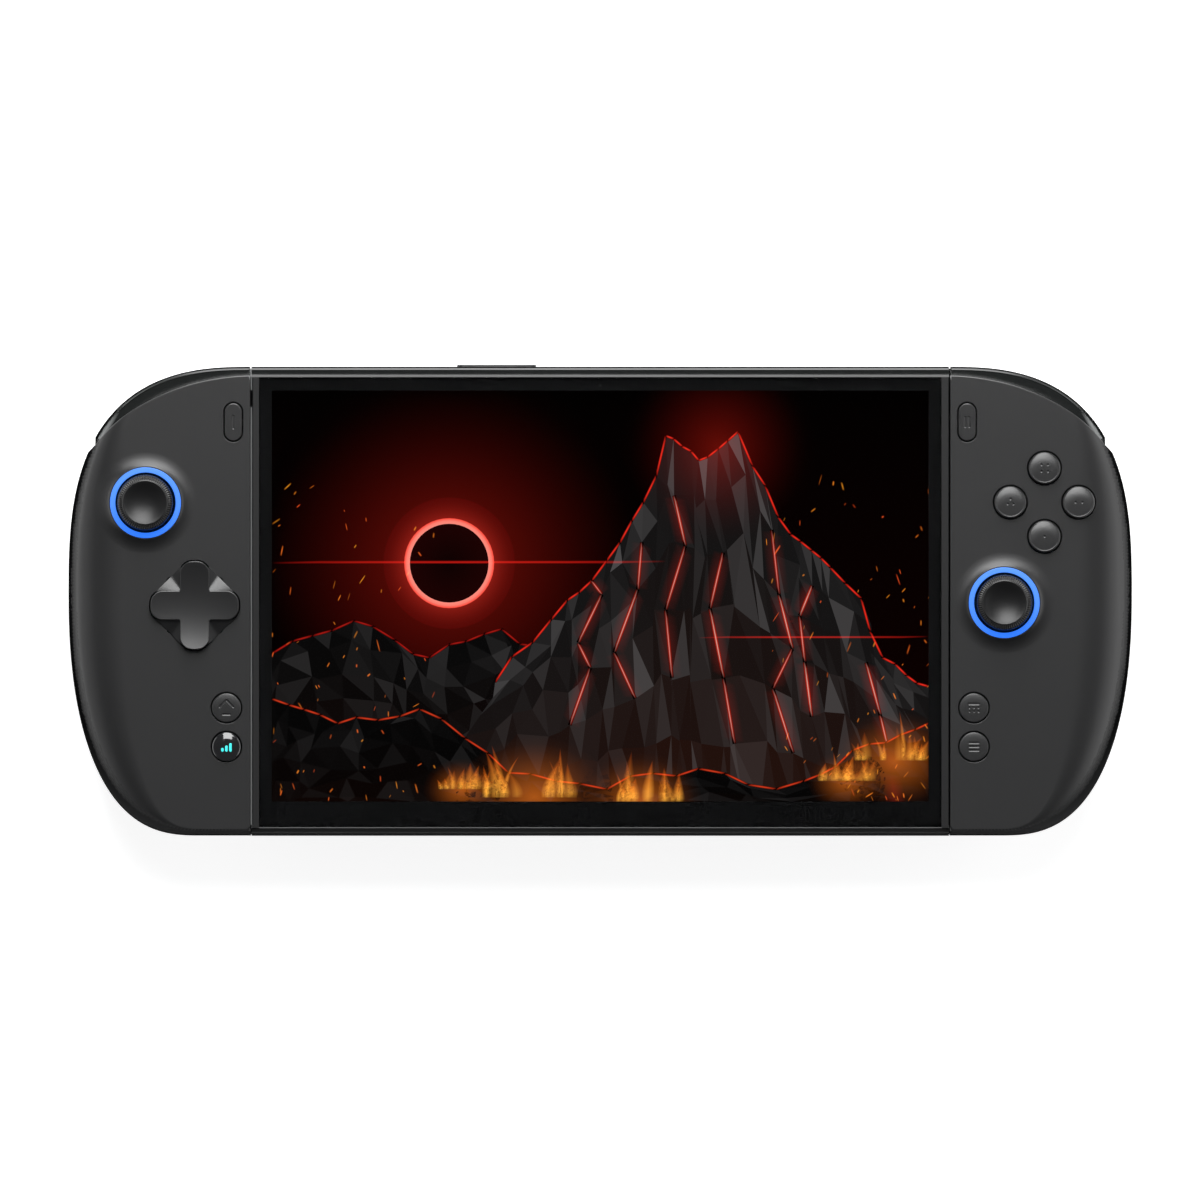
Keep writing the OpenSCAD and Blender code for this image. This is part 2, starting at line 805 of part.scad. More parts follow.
module trigger_form() {
    union() {
        intersection() {
            translate([trigger_x, 0, 0]) rotate([90, 0, 90]) linear_extrude(trigger_w) trigger_profile();
            translate([0, 0, -1]) linear_extrude(far) polygon(ring([0.7, 0.7, 0.7, 0], 0, 30));
        }
        translate([trigger_x - trigger_pin_l, trigger_y, trigger_z]) rotate([0, 90, 0])
            cylinder(r = trigger_pin_r, h = trigger_w + 2 * trigger_pin_l);
    }
}

module left_trigger() { color("#1b1c1d") on_side(-1) trigger_form(); }
module right_trigger() { color("#1b1c1d") trigger_form(); }

// Direction pad

// Corners of the base between two arms: near one arm, on the diagonal, near the next arm
pad_reach = pad_span / 2;
pad_tip = pad_reach - 1.6;
pad_side = pad_arm / 2 - 0.2;
pad_corner = (pad_tip + pad_side) / 2;
function pad_turn(p, a) = [p[0] * cos(a) - p[1] * sin(a), p[0] * sin(a) + p[1] * cos(a)];
function pad_points() = [for (a = [0:90:270]) each
    [for (p = [[pad_tip, pad_side], [pad_corner, pad_corner], [pad_side, pad_tip]]) pad_turn(p, a)]];

module arm_area() {
    corner = pad_arm * 0.42;
    round_rect(pad_span, pad_arm, corner);
    round_rect(pad_arm, pad_span, corner);
}

module pad_rim() {
    polygon(pad_points());
    arm_area();
}

// Base whose facets fall from the middle to the corners between the arms
module pad_base(low, corner_z, arm_z, middle_z) {
    rim = pad_points();
    n = len(rim);
    floor_ring = [for (p = rim) [p[0], p[1], low]];
    rim_ring = [for (i = [0:n - 1]) [rim[i][0], rim[i][1], i % 3 == 1 ? corner_z : arm_z]];
    points = concat(floor_ring, rim_ring, [[0, 0, middle_z], [0, 0, low]]);
    faces = [for (i = [0:n - 1]) let (j = (i + 1) % n) each [
        [i, n + j, j], [i, n + i, n + j], [n + i, 2 * n, n + j], [j, 2 * n + 1, i]
    ]];
    polyhedron(points, faces);
}

module dpad() {
    under = face_z - 1.6;
    dish_r = 70;
    color("#343435") on_side(-1) at(pad) difference() {
        union() {
            difference() {
                translate([0, 0, under]) linear_extrude(face_z + pad_proud - under) arm_area();
                translate([0, 0, face_z + pad_proud + dish_r - 0.9]) sphere(dish_r, $fn = 128);
            }
            pad_base(under, face_z + 0.1, face_z + 1.1, face_z + 1.8);
            for (s = [-1, 1]) translate([s * pad_leg_x, 0, 0])
                box([-pad_leg_t / 2, -1.6, pad_pivot_z - 1.4], [pad_leg_t / 2, 1.6, under + 0.5]);
            translate([0, 0, pad_pivot_z]) rotate([0, 90, 0])
                cylinder(r = pad_pin_r, h = 2 * pad_leg_x, center = true);
        }
    }
}

module dpad_pivot() {
    color("#b9bbbd") on_side(-1) at(pad, pad_pivot_z) difference() {
        union() {
            cube([2 * pad_leg_x - pad_leg_t - 2 * play, 4, 3], center = true);
            rotate([90, 0, 0]) cylinder(r = pad_axle_r, h = 2 * pad_ear_y + pad_ear_t, center = true);
        }
        rotate([0, 90, 0]) cylinder(r = pad_pin_r + bearing_play, h = 4 * pad_leg_x, center = true);
    }
}

// Buttons

// Space that the wall at the seam takes, seen from a button at a place
module seam_wall_space(place) {
    box([-far, -far, 0], [seam_x + wall + play - place[0], far, far]);
}

// Round button with a domed top, a flange under the face and a stem
module round_button(place, r, proud, dome) {
    at(place) union() {
        intersection() {
            translate([0, 0, flange_top - flange_t]) cylinder(r = r, h = far);
            translate([0, 0, face_z + proud - dome]) sphere(dome, $fn = 128);
        }
        difference() {
            translate([0, 0, flange_top - flange_t]) cylinder(r = r + flange_w, h = flange_t);
            seam_wall_space(place);
        }
        translate([0, 0, stem_low()]) cylinder(r = r - 1.6, h = flange_top - flange_t - stem_low() + 0.1);
    }
}

// Small marks cut into the top of a button, given as [x, y, length, turn] bars or dots of zero length
module marks(place, list, w, top) {
    at(place, top - 0.35) for (m = list) translate([m[0], m[1]]) rotate(m[3])
        linear_extrude(2) stadium(w, m[2] + w);
}

module face_button(place, dots) {
    color("#39393a") difference() {
        round_button(place, face_r, face_proud, 15);
        marks(place, dots, 0.8, face_z + face_proud);
    }
}

dot_gap = 0.95;
module south_button() { face_button(face_places[0], [[0, 0, 0, 0]]); }
module east_button() { face_button(face_places[1], [for (x = [-1, 1]) [x * dot_gap, 0, 0, 0]]); }
module west_button() {
    face_button(face_places[2], [for (a = [90:120:330]) [dot_gap * cos(a), dot_gap * sin(a), 0, 0]]);
}
module north_button() {
    face_button(face_places[3], [for (x = [-1, 1], y = [-1, 1]) [x * dot_gap, y * dot_gap, 0, 0]]);
}

small_dome = 40;
module small_button(place, list) {
    color("#39393a") difference() {
        round_button(place, small_r, small_proud, small_dome);
        marks(place, list, 0.4, face_z + small_proud);
    }
}

module home_button() {
    on_side(-1) small_button(small_places[0], [[0.85, 0.55, 2, 45], [-0.85, 0.55, 2, -45], [0, -1.6, 1.2, 90]]);
}
module keyboard_button() {
    small_button(small_places[0], concat([[0, 1.1, 2.8, 90]],
        [for (x = [-1, 0, 1], y = [0, 1]) [x * 1.3, y * -1.1, 0, 0]]));
}
module menu_button() { small_button(small_places[1], [for (y = [-1:1]) [0, y * 1.1, 2.6, 90]]); }

module turbo_button() {
    color("#1b1c1e") on_side(-1) round_button(small_places[1], small_r, 2 * small_proud, 12);
}

module pill_button(list) {
    color("#39393a") difference() {
        at(pill_place) union() {
            translate([0, 0, flange_top - flange_t])
                linear_extrude(face_z + small_proud - flange_top + flange_t) stadium(pill_w, pill_l);
            difference() {
                translate([0, 0, flange_top - flange_t])
                    linear_extrude(flange_t) stadium(pill_w + 2 * flange_w, pill_l + 2 * flange_w);
                seam_wall_space(pill_place);
            }
            translate([0, 0, stem_low()]) cylinder(r = 1.6, h = flange_top - flange_t - stem_low() + 0.1);
        }
        marks(pill_place, list, 0.5, face_z + small_proud);
    }
}

module back_button() { on_side(-1) pill_button([[0, 0, 3.4, 0]]); }
module start_button() { pill_button([for (x = [-1, 1]) [x * 0.6, 0, 2.6, 0]]); }

// Tablet

// Cross-section of the tablet in Y and Z, with round back edges
module tablet_section(low, high, round) {
    corner = function(s) [for (a = [0:9:90])
        [s * (half_h - round + round * sin(a)), low + round - round * cos(a)]];
    right = corner(1);
    left = corner(-1);
    polygon(concat(right, [[half_h, high], [-half_h, high]], [for (i = [len(left) - 1:-1:0]) left[i]]));
}

module across(w) {
    translate([-w / 2, 0, 0]) rotate([90, 0, 90]) linear_extrude(w) children();
}

// Slots of the air intake: rows that fill a circle over the fan
module intake_slots() {
    pitch = 4.2;
    rows = floor(fan_r / pitch);
    for (i = [-rows:rows]) translate([fan_x + i * pitch, fan_y, back_z - 1])
        linear_extrude(tablet_wall + 2) stadium(2, 2 * sqrt(fan_r * fan_r - i * i * pitch * pitch) - 2);
}

cover_screws = [for (x = [-1, 0, 1], y = [-1, 1]) [x * (tablet_w / 2 - 9), y * (half_h - 9)]];

module rear_cover() {
    color("#2a2a2b") difference() {
        union() {
            difference() {
                across(tablet_w) tablet_section(back_z, cover_top_z, back_round);
                box([-tablet_w / 2 + tablet_wall, -half_h + back_round, floor_z],
                    [tablet_w / 2 - tablet_wall, half_h - back_round, far]);
            }
            for (p = cover_screws) at(p, back_z + 0.5) cylinder(r = 3.6, h = cover_top_z - back_z - 0.5);
        }
        intake_slots();
        for (p = cover_screws) at(p, back_z) {
            translate([0, 0, -1]) cylinder(r = screw_head_r + play, h = 2.4);
            cylinder(r = screw_r + play, h = far);
        }
    }
}

module tablet_screws() {
    color("#77787a") for (p = cover_screws) at(p, back_z + 1.4) {
        difference() {
            translate([0, 0, -screw_head_h]) cylinder(r = screw_head_r, h = screw_head_h);
            translate([0, 0, -screw_head_h - 0.1]) cylinder(r = 0.9, h = 0.8, $fn = 6);
        }
        cylinder(r = screw_r - 0.15, h = cover_top_z - back_z + 3);
    }
}

// Rocker and power button sit in slots in the top wall
edge_mid_z = (cover_top_z + panel_z - shelf_t) / 2;
edge_button_t = 3.4;
power_l = 13;
power_proud = 0.3;

module edge_slot(x, l) {
    translate([x, half_h, edge_mid_z]) rotate([90, 0, 0]) translate([0, 0, -5])
        linear_extrude(12) rotate(90) stadium(edge_button_t + 2 * play, l + 2 * play);
}

// Pin across the wall that the volume rocker turns on
rocker_pin_r = 0.7;
rocker_pin_l = 1.2;
module rocker_pin(grow) {
    translate([rocker_x, half_h - tablet_wall / 2, edge_mid_z])
        cylinder(r = rocker_pin_r + grow, h = edge_button_t + 2 * (rocker_pin_l + grow), center = true);
}

exhaust_n = 14;
exhaust_pitch = 3.4;
module exhaust_slots() {
    for (i = [0:exhaust_n - 1])
        translate([fan_x + (i - (exhaust_n - 1) / 2) * exhaust_pitch, half_h, edge_mid_z]) rotate([90, 0, 0])
            translate([0, 0, -5]) linear_extrude(8) stadium(1.6, 6.5);
}

speaker_x = tablet_w / 2 - 24;
speaker_w = 20;
speaker_d = 16;
speaker_slots = 7;
module speaker_openings() {
    for (s = [-1, 1], i = [0:speaker_slots - 1])
        translate([s * speaker_x + (i - (speaker_slots - 1) / 2) * 2.6, -half_h, edge_mid_z]) rotate([90, 0, 0])
            translate([0, 0, -4]) linear_extrude(8) stadium(1.3, 4.6);
}

// Charging port opening, a round-ended slot
port_w = 9;
port_t = 3.3;
port_shell = 0.35;
port_depth = 7.5;
port_places = [[port_at, 1], [low_port_x, -1]];
module port_area(grow) { rotate(90) stadium(port_t + 2 * grow, port_w + 2 * grow); }

module at_edge(x, s) {
    translate([x, s * half_h, edge_mid_z]) rotate([s > 0 ? 90 : -90, 0, 0]) children();
}

module mid_frame() {
    chamfer = 0.8;
    color("#17191a") difference() {
        union() {
            difference() {
                across(tablet_w) polygon([
                    [-half_h, cover_top_z], [half_h, cover_top_z], [half_h, frame_top_z - chamfer],
                    [half_h - chamfer, frame_top_z], [-half_h + chamfer, frame_top_z],
                    [-half_h, frame_top_z - chamfer]
                ]);
                box([-tablet_w / 2 + tablet_wall, -half_h + tablet_wall, -1],
                    [tablet_w / 2 - tablet_wall, half_h - tablet_wall, far]);
            }
            difference() {
                box([-tablet_w / 2 + 1, -half_h + 1, panel_z - shelf_t],
                    [tablet_w / 2 - 1, half_h - 1, frame_top_z]);
                box([-tablet_w / 2 + 10, -half_h + 12, -1], [tablet_w / 2 - 10, half_h - 12, far]);
                plate(panel_w + 2 * play, panel_h + 2 * play, 0.6, panel_z, far);
            }
            for (p = cover_screws) at(p, cover_top_z) cylinder(r = 3.2, h = panel_z - cover_top_z - 0.2);
        }
        for (p = cover_screws) at(p, cover_top_z - 1) cylinder(r = screw_r - 0.1, h = 8);
        edge_slot(rocker_x, rocker_l);
        rocker_pin(bearing_play);
        edge_slot(power_x, power_l);
        exhaust_slots();
        speaker_openings();
        for (p = port_places) at_edge(p[0], p[1]) translate([0, 0, -1])
            linear_extrude(8) port_area(port_shell + bearing_play);
        at_edge(jack_at, 1) translate([0, 0, -1]) cylinder(r = jack_r + 0.9 + bearing_play, h = 8);
        for (s = [-1, 1]) on_side(s) plug_slot(play);
    }
}

module front_bezel() {
    color("#3b3b3c") difference() {
        plate(tablet_w, bezel_h, 0.6, frame_top_z, face_z);
        plate(glass_w + 2 * bearing_play, glass_h + 2 * bearing_play, 0.6, glass_z, far);
        plate(panel_w + 2 * play, panel_h + 2 * play, 0.6, 0, far);
    }
}

module cover_glass() {
    color([0.03, 0.03, 0.035]) plate(glass_w, glass_h, 0.5, glass_z, face_z);
}

module display_panel() {
    color("#0a0405") union() {
        plate(panel_w, panel_h, 0.5, panel_z, glass_z - 0.1);
        translate([0, picture_up, 0]) plate(picture_w, picture_h, 0.5, panel_z, glass_z);
    }
}

// Tablet insides

main_board_z = cover_top_z - 0.6;
main_board_top = main_board_z + board_t;
main_board_low = 2;
main_board_high = half_h - 13;
module main_board() {
    left = -tablet_w / 2 + 14;
    color("#173a2b") union() {
        box([left, main_board_low, main_board_z], [fan_x - fan_r - 9, main_board_high, main_board_top]);
        box([left, half_h - 20, main_board_z], [port_at + 8, half_h - back_round - 0.3, main_board_top]);
        for (p = [[left + 6, 8], [fan_x - fan_r - 15, 8]])
            at(p, floor_z) cylinder(r = 2, h = main_board_z - floor_z);
    }
}

// Fin stack, flat heat pipe and cold plate
module heat_sink() {
    fins = 16;
    fin_t = 0.8;
    span = 2 * fan_r + 4;
    depth = 5;
    stack_y = half_h - 9.6;
    z0 = floor_z + 0.3;
    pipe_w = 4;
    pipe_z = main_board_z - 2.6;
    chip_away = 40;
    chip = [fan_x - fan_r - chip_away, main_board_low + 22];
    bend = [fan_x - fan_r - 10, stack_y + depth / 2];
    color("#b87f52") union() {
        for (i = [0:fins - 1]) translate([fan_x - span / 2 + i * (span - fin_t) / (fins - 1), stack_y, z0])
            cube([fin_t, depth, fan_h]);
        box([fan_x - span / 2, stack_y, z0], [fan_x + span / 2, stack_y + depth, z0 + fin_t]);
        translate([0, 0, pipe_z]) linear_extrude(2) {
            bar(bend, [fan_x + span / 2 - 4, bend[1]], pipe_w);
            bar(bend, chip, pipe_w);
        }
        box([chip[0] - 14, chip[1] - 14, pipe_z + 1.2], [chip[0] + 14, chip[1] + 14, main_board_z]);
    }
}

fan_h = 8.4;
fan_z = floor_z + 0.3;
fan_pin_r = 1;
module fan_housing() {
    half = fan_r + 4;
    color("#202124") difference() {
        union() {
            difference() {
                box([fan_x - half, fan_y - half, floor_z], [fan_x + half, fan_y + half - 3, fan_z + fan_h]);
                translate([fan_x, fan_y, -1]) cylinder(r = fan_r + 1.5, h = far);
                box([fan_x - fan_r, fan_y, fan_z + 1], [fan_x + fan_r, fan_y + far, fan_z + fan_h - 1]);
            }
            translate([fan_x, fan_y, fan_z + fan_h - 1]) cylinder(r = 9, h = 1);
            for (a = [45:90:315]) translate([fan_x, fan_y, fan_z + fan_h - 1]) rotate(a)
                box([0, -1.2, 0], [fan_r + 3, 1.2, 1]);
            translate([fan_x, fan_y, fan_z + 0.6]) cylinder(r = fan_pin_r, h = fan_h - 1);
        }
    }
}

module fan_impeller() {
    hub = 8;
    low = fan_z + 0.8;
    high = fan_z + fan_h - 1.5;
    color("#303236") translate([fan_x, fan_y, 0]) difference() {
        union() {
            translate([0, 0, low]) cylinder(r = hub, h = high - low);
            for (i = [0:fan_blades - 1]) rotate(360 * i / fan_blades) translate([0, 0, low])
                rotate([0, 0, 18]) box([hub - 1, -0.5, 0], [fan_r - 0.5, 0.5, high - low]);
        }
        cylinder(r = fan_pin_r + bearing_play, h = far);
    }
}

battery_in = 28;
battery_gap = 2;
battery_high_y = -2.5;
battery_t = 7.5;
module battery_pack() {
    w = (tablet_w - 2 * battery_in - battery_gap) / 2;
    low = -half_h + back_round + speaker_d + 1.1;
    color("#2b2d33") for (s = [-1, 1])
        translate([s * (w + battery_gap) / 2, (low + battery_high_y) / 2, 0])
            plate(w, battery_high_y - low, 2, floor_z, floor_z + battery_t);
}

module ssd_module() {
    w = 22;
    l = 30;
    place = [-tablet_w / 2 + 38, (main_board_low + main_board_high) / 2];
    color("#24476b") at(place) plate(w, l, 0.5, main_board_top, main_board_top + 2.4);
}

module speakers() {
    color("#1c1d1f") for (s = [-1, 1]) translate([s * speaker_x, -half_h + back_round + 0.1 + speaker_d / 2, 0])
        plate(speaker_w, speaker_d, 2, floor_z, edge_mid_z + 2.5);
}

module usb_c_ports() {
    color("#a4a6a9") for (p = port_places) at_edge(p[0], p[1]) difference() {
        translate([0, 0, 0.2]) linear_extrude(port_depth) port_area(port_shell);
        translate([0, 0, -1]) linear_extrude(port_depth) port_area(0);
    }
    color("#1c1c1d") for (p = port_places) at_edge(p[0], p[1])
        translate([-3.3, -0.35, 1.2]) cube([6.6, 0.7, port_depth - 1.4]);
}

jack_l = 13;
module audio_jack() {
    color("#1c1c1d") at_edge(jack_at, 1) difference() {
        union() {
            translate([0, 0, 0.1]) cylinder(r = jack_r + 0.9, h = tablet_wall);
            translate([-3, main_board_top - edge_mid_z, tablet_wall + 0.1])
                cube([6, edge_mid_z - main_board_top + 2.8, jack_l - tablet_wall + 1]);
        }
        translate([0, 0, -1]) cylinder(r = jack_r, h = jack_l + 1.1);
    }
}

// Sockets in the tablet sides that take the docking plugs
module dock_sockets() {
    skin = 1.4;
    inside = tablet_w / 2 - tablet_wall;
    deep = plug_l + 1.5;
    color("#1a1a1b") for (s = [-1, 1]) on_side(s) difference() {
        box([tablet_w / 2 - deep - skin, -plug_h / 2 - play - skin, plug_z0 - play - skin],
            [inside, plug_h / 2 + play + skin, plug_z0 + plug_t + play + 0.6]);
        box([tablet_w / 2 - deep, -plug_h / 2 - play, plug_z0 - play],
            [far, plug_h / 2 + play, plug_z0 + plug_t + play]);
    }
}

// Bar in the top edge with a foot that keeps it in its slot
module edge_button(x, l, proud) {
    foot_z = tablet_wall + 0.4;
    translate([x, half_h, edge_mid_z]) rotate([90, 0, 0]) {
        translate([0, 0, -proud]) linear_extrude(foot_z + proud) rotate(90) stadium(edge_button_t, l);
        translate([0, 0, foot_z]) linear_extrude(0.8) rotate(90) stadium(edge_button_t + 1.2, l + 1.2);
    }
}

module power_button() { color("#202224") edge_button(power_x, power_l, power_proud); }
module volume_rocker() {
    color("#202224") union() {
        edge_button(rocker_x, rocker_l, rocker_proud);
        rocker_pin(0);
    }
}

rear_cover();
mid_frame();
front_bezel();
cover_glass();
display_panel();
main_board();
heat_sink();
fan_housing();
fan_impeller();
battery_pack();
ssd_module();
speakers();
usb_c_ports();
audio_jack();
dock_sockets();
tablet_screws();
power_button();
volume_rocker();
left_front_shell();
left_rear_shell();
left_board();
left_cell();
left_motor();
left_stick_module();
left_light_ring();
left_dock_plug();
left_screws();
left_keypad();
left_bumper();
left_trigger();
left_stick_gimbal();
left_stick_hub();
left_stick();
dpad_pivot();
dpad();
back_button();
home_button();
turbo_button();
right_front_shell();
right_rear_shell();
right_board();
right_cell();
right_motor();
right_stick_module();
right_light_ring();
right_dock_plug();
right_screws();
right_keypad();
right_bumper();
right_trigger();
right_stick_gimbal();
right_stick_hub();
right_stick();
south_button();
east_button();
west_button();
north_button();
start_button();
keyboard_button();
menu_button();
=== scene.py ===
# Handheld game console: finishes, fine shapes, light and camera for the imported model.
# Shapes are worked out in millimetres in the model's own frame and put into Blender in metres.
import json
import math
import random

import bmesh
import bpy
import numpy as np
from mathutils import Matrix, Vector
from mathutils.geometry import delaunay_2d_cdt


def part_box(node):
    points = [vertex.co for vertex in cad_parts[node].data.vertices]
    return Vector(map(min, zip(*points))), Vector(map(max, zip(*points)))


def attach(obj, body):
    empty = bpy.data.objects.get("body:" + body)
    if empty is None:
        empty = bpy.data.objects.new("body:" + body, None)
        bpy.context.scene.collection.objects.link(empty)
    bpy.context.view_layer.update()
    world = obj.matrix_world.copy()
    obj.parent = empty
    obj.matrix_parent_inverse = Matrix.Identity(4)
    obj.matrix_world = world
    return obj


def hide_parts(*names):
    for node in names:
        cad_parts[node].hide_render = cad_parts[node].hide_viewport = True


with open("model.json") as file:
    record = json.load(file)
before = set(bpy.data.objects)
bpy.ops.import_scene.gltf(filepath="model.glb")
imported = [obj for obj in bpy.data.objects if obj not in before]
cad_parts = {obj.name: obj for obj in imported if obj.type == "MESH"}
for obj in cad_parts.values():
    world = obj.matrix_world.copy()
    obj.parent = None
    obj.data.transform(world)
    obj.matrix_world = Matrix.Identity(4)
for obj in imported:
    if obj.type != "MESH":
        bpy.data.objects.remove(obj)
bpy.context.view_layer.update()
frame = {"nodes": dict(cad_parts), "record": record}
NODES = frame["nodes"]
MM = 0.001


def mm_box(node):
    """Lowest and highest corner of a solid in millimetres."""
    return [np.array(corner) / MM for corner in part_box(node)]


def middle(node):
    low, high = mm_box(node)
    return (low + high) / 2


def right_place(node):
    """Middle of a solid on the page, brought to the right side."""
    x, y, _ = middle(node)
    return np.array([abs(x), y])


# Sizes taken from the frame

(SEAM, _, SPLIT), (OUTER, LIP_Y, _) = mm_box("right_front_shell")
GLASS_LOW, GLASS_HIGH = mm_box("cover_glass")
GLASS_UNDER, FACE = GLASS_LOW[2], GLASS_HIGH[2]
FRAME_LOW, FRAME_HIGH = mm_box("mid_frame")
TABLET_HALF, HALF_H, FRAME_TOP = FRAME_HIGH
BUMPER_LOW, BUMPER_HIGH = mm_box("right_bumper")
PANEL_LOW, PANEL_HIGH = mm_box("display_panel")
LEFT_STICK, RIGHT_STICK = right_place("left_light_ring"), right_place("right_light_ring")
PAD = right_place("dpad")
FACE_BUTTONS = ("south_button", "east_button", "west_button", "north_button")

# Form of a controller, as in the solid model

MID_Y = 2.0
LOW_CORNER = SEAM + 14.7
TOP_POWER, LOW_POWER = (2.62, 2.88), (2.69, 2.27)
SQUARER = 2.3
LIP_POWER = (1.77, 3.7)
ROUND_W, ROUND_Z, LOW_ROUND = 16.0, 9.0, 2.0
LIP_STEP = HALF_H - LIP_Y
WIDEST = FACE - ROUND_Z
REST = np.array([OUTER - 20.6, -3.0])
GRIP_POWER = 2.3
REST_ANGLE = math.radians(79)
GRIP_TIP = math.sin(REST_ANGLE) ** (2 / GRIP_POWER)
BUMPER_END = OUTER - 8.0
BUMPER_START, BUMPER_STOP = BUMPER_LOW[0], BUMPER_HIGH[0]
PLATE_UNDER = FACE - 2.0
BUTTON_FOOT = PLATE_UNDER - 1.0
BELOW_ALL = -5.0
EDGE, FINE_EDGE = 0.3, 0.12
SPOT_GAP = 0.15
LIP_COUNT = 70
LIP_OUT, LIP_OUT_END, LIP_OUT_FADE = 0.38, SEAM + 32.0, 15.0
LIP_BEVEL, LIP_SLOPE = 0.3, 0.5
COLLAR_IN, COLLAR_OUT, COLLAR_H = 10.5, 14.6, 0.9
COLLAR_PULL, COLLAR_TOE = COLLAR_IN + 1.1, 0.05
RING_HOLE = 10.25
PLAY, PAD_PLAY = 0.25, 0.35
SMALL_R, FACE_R = 4.2, 4.65
PILL_W, PILL_L = 4.9, 10.9
PILL_PLACE = np.array([SEAM + 4.9, HALF_H - 16.0])


# Mesh tools


class Form:
    """Points in millimetres with their normals, faces and material numbers, gathered for one piece."""

    def __init__(self):
        self.points, self.normals, self.faces, self.marks = [], [], [], []

    def add(self, points, faces, normals, mark=0):
        base = len(self.points)
        self.points += [tuple(p) for p in points]
        self.normals += [tuple(n) for n in normals]
        self.faces += [tuple(base + i for i in f) for f in faces]
        self.marks += [mark] * len(faces) if np.isscalar(mark) else list(mark)
        return self

    def mirror(self):
        self.points, self.normals = [[(-x, y, z) for x, y, z in v] for v in (self.points, self.normals)]
        self.faces = [f[::-1] for f in self.faces]
        return self

    def moved(self, x, y, z=0.0):
        self.points = [(a + x, b + y, c + z) for a, b, c in self.points]
        return self

    def oriented(self):
        """Faces, each wound so that it faces the way of its points' normals."""
        points, normals = np.array(self.points), np.array(self.normals)
        out = []
        for face in self.faces:
            a, b, c = points[face[0]], points[face[1]], points[face[2]]
            way = np.cross(b - a, c - a) @ normals[list(face)].sum(0)
            out.append(face if way >= 0 else face[::-1])
        return out


def new_mesh(name, points, faces, materials, smooth=True):
    """Mesh from points in millimetres."""
    mesh = bpy.data.meshes.new(name)
    mesh.from_pydata([Vector(p) * MM for p in points], [], faces)
    for material in materials:
        mesh.materials.append(material)
    if smooth:
        mesh.polygons.foreach_set("use_smooth", [True] * len(mesh.polygons))
    return mesh


def new_object(name, data):
    made = bpy.data.objects.new(name, data)
    bpy.context.scene.collection.objects.link(made)
    return made


def add_piece(name, mesh, body, replaces=()):
    """Puts a mesh into the scene as a piece that rides on a body."""
    piece = new_object(name, mesh)
    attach(piece, body)
    if replaces:
        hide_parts(*replaces)
    return piece


def make(name, form, body, materials, replaces=()):
    """Turns a form into a piece, shaded by the form's own normals."""
    mesh = new_mesh(name, form.points, form.oriented(), materials)
    mesh.polygons.foreach_set("material_index", form.marks)
    mesh.update()
    mesh.normals_split_custom_set_from_vertices(unit(form.normals))
    return add_piece(name, mesh, body, replaces)


def unit(vectors):
    """Vectors along the last axis, brought to length 1."""
    vectors = np.asarray(vectors, float)
    return vectors / np.maximum(np.linalg.norm(vectors, axis=-1, keepdims=True), 1e-9)


def smooth_step(t):
    t = np.clip(t, 0, 1)
    return t * t * (3 - 2 * t)


def inside(points, polygon):
    """Even-odd test of many points against a closed polygon."""
    x, y = points[:, 0], points[:, 1]
    hit = np.zeros(len(points), bool)
    for (ax, ay), (bx, by) in zip(polygon, np.roll(polygon, -1, axis=0)):
        if ay != by:
            hit ^= ((ay > y) != (by > y)) & (x < ax + (y - ay) * (bx - ax) / (by - ay))
    return hit


def polygon_distance(points, polygon, closed=True):
    """Distance of many points from a polygon's edges."""
    best = np.full(len(points), 1e9)
    for i in range(len(polygon) if closed else len(polygon) - 1):
        a, b = polygon[i], polygon[(i + 1) % len(polygon)]
        along = b - a
        share = np.clip(((points - a) @ along) / max(along @ along, 1e-12), 0, 1)
        best = np.minimum(best, np.linalg.norm(points - a - share[:, None] * along, axis=1))
    return best


def offset(loop, d, closed=True):
    """Points moved by d to the left of the way that the loop runs, with mitred corners."""
    loop = np.asarray(loop, float)
    after = np.roll(loop, -1, axis=0) - loop
    before = loop - np.roll(loop, 1, axis=0)
    if not closed:
        after[-1], before[0] = before[-1], after[0]
    n1, n2 = (unit(np.stack([-v[:, 1], v[:, 0]], 1)) for v in (before, after))
    mid = unit(n1 + n2)
    stretch = 1 / np.maximum((mid * n1).sum(1), 0.4)
    return loop + d * mid * stretch[:, None]


def circle(centre, r, n):
    a = np.arange(n) * 2 * math.pi / n
    return np.stack([centre[0] + r * np.cos(a), centre[1] + r * np.sin(a)], 1)


def arc(cx, cy, r, start, end, n):
    a = np.radians(np.linspace(start, end, n))
    return [(cx + r * math.cos(t), cy + r * math.sin(t)) for t in a]


def stadium(centre, w, l, d, n=20):
    """Round-ended slot, long along Y and grown by d."""
    r, half = w / 2 + d, (l - w) / 2
    a = np.linspace(0, math.pi, n)
    top = np.stack([r * np.cos(a), half + r * np.sin(a)], 1)
    return np.array(centre) + np.concatenate([top, -top])


def slot_distance(p, w, l):
    """Distance of points outside the outline of a slot about the origin, below zero inside."""
    return np.hypot(p[:, 0], np.maximum(np.abs(p[:, 1]) - (l - w) / 2, 0)) - w / 2


def grid_points(across, up, step):
    return np.stack(np.meshgrid(np.arange(*across, step), np.arange(*up, step)), 2).reshape(-1, 2)


def grid_faces(rows, n, closed=False):
    """Quads between rows of n points each, closed round where asked."""
    return [(j * n + i, (j + 1) * n + i, (j + 1) * n + (i + 1) % n, j * n + (i + 1) % n)
            for j in range(rows - 1) for i in range(n if closed else n - 1)]


def at_height(loop, z):
    """Points of a flat loop, at one height or at a height for each."""
    return np.column_stack([loop, np.broadcast_to(z, len(loop))])


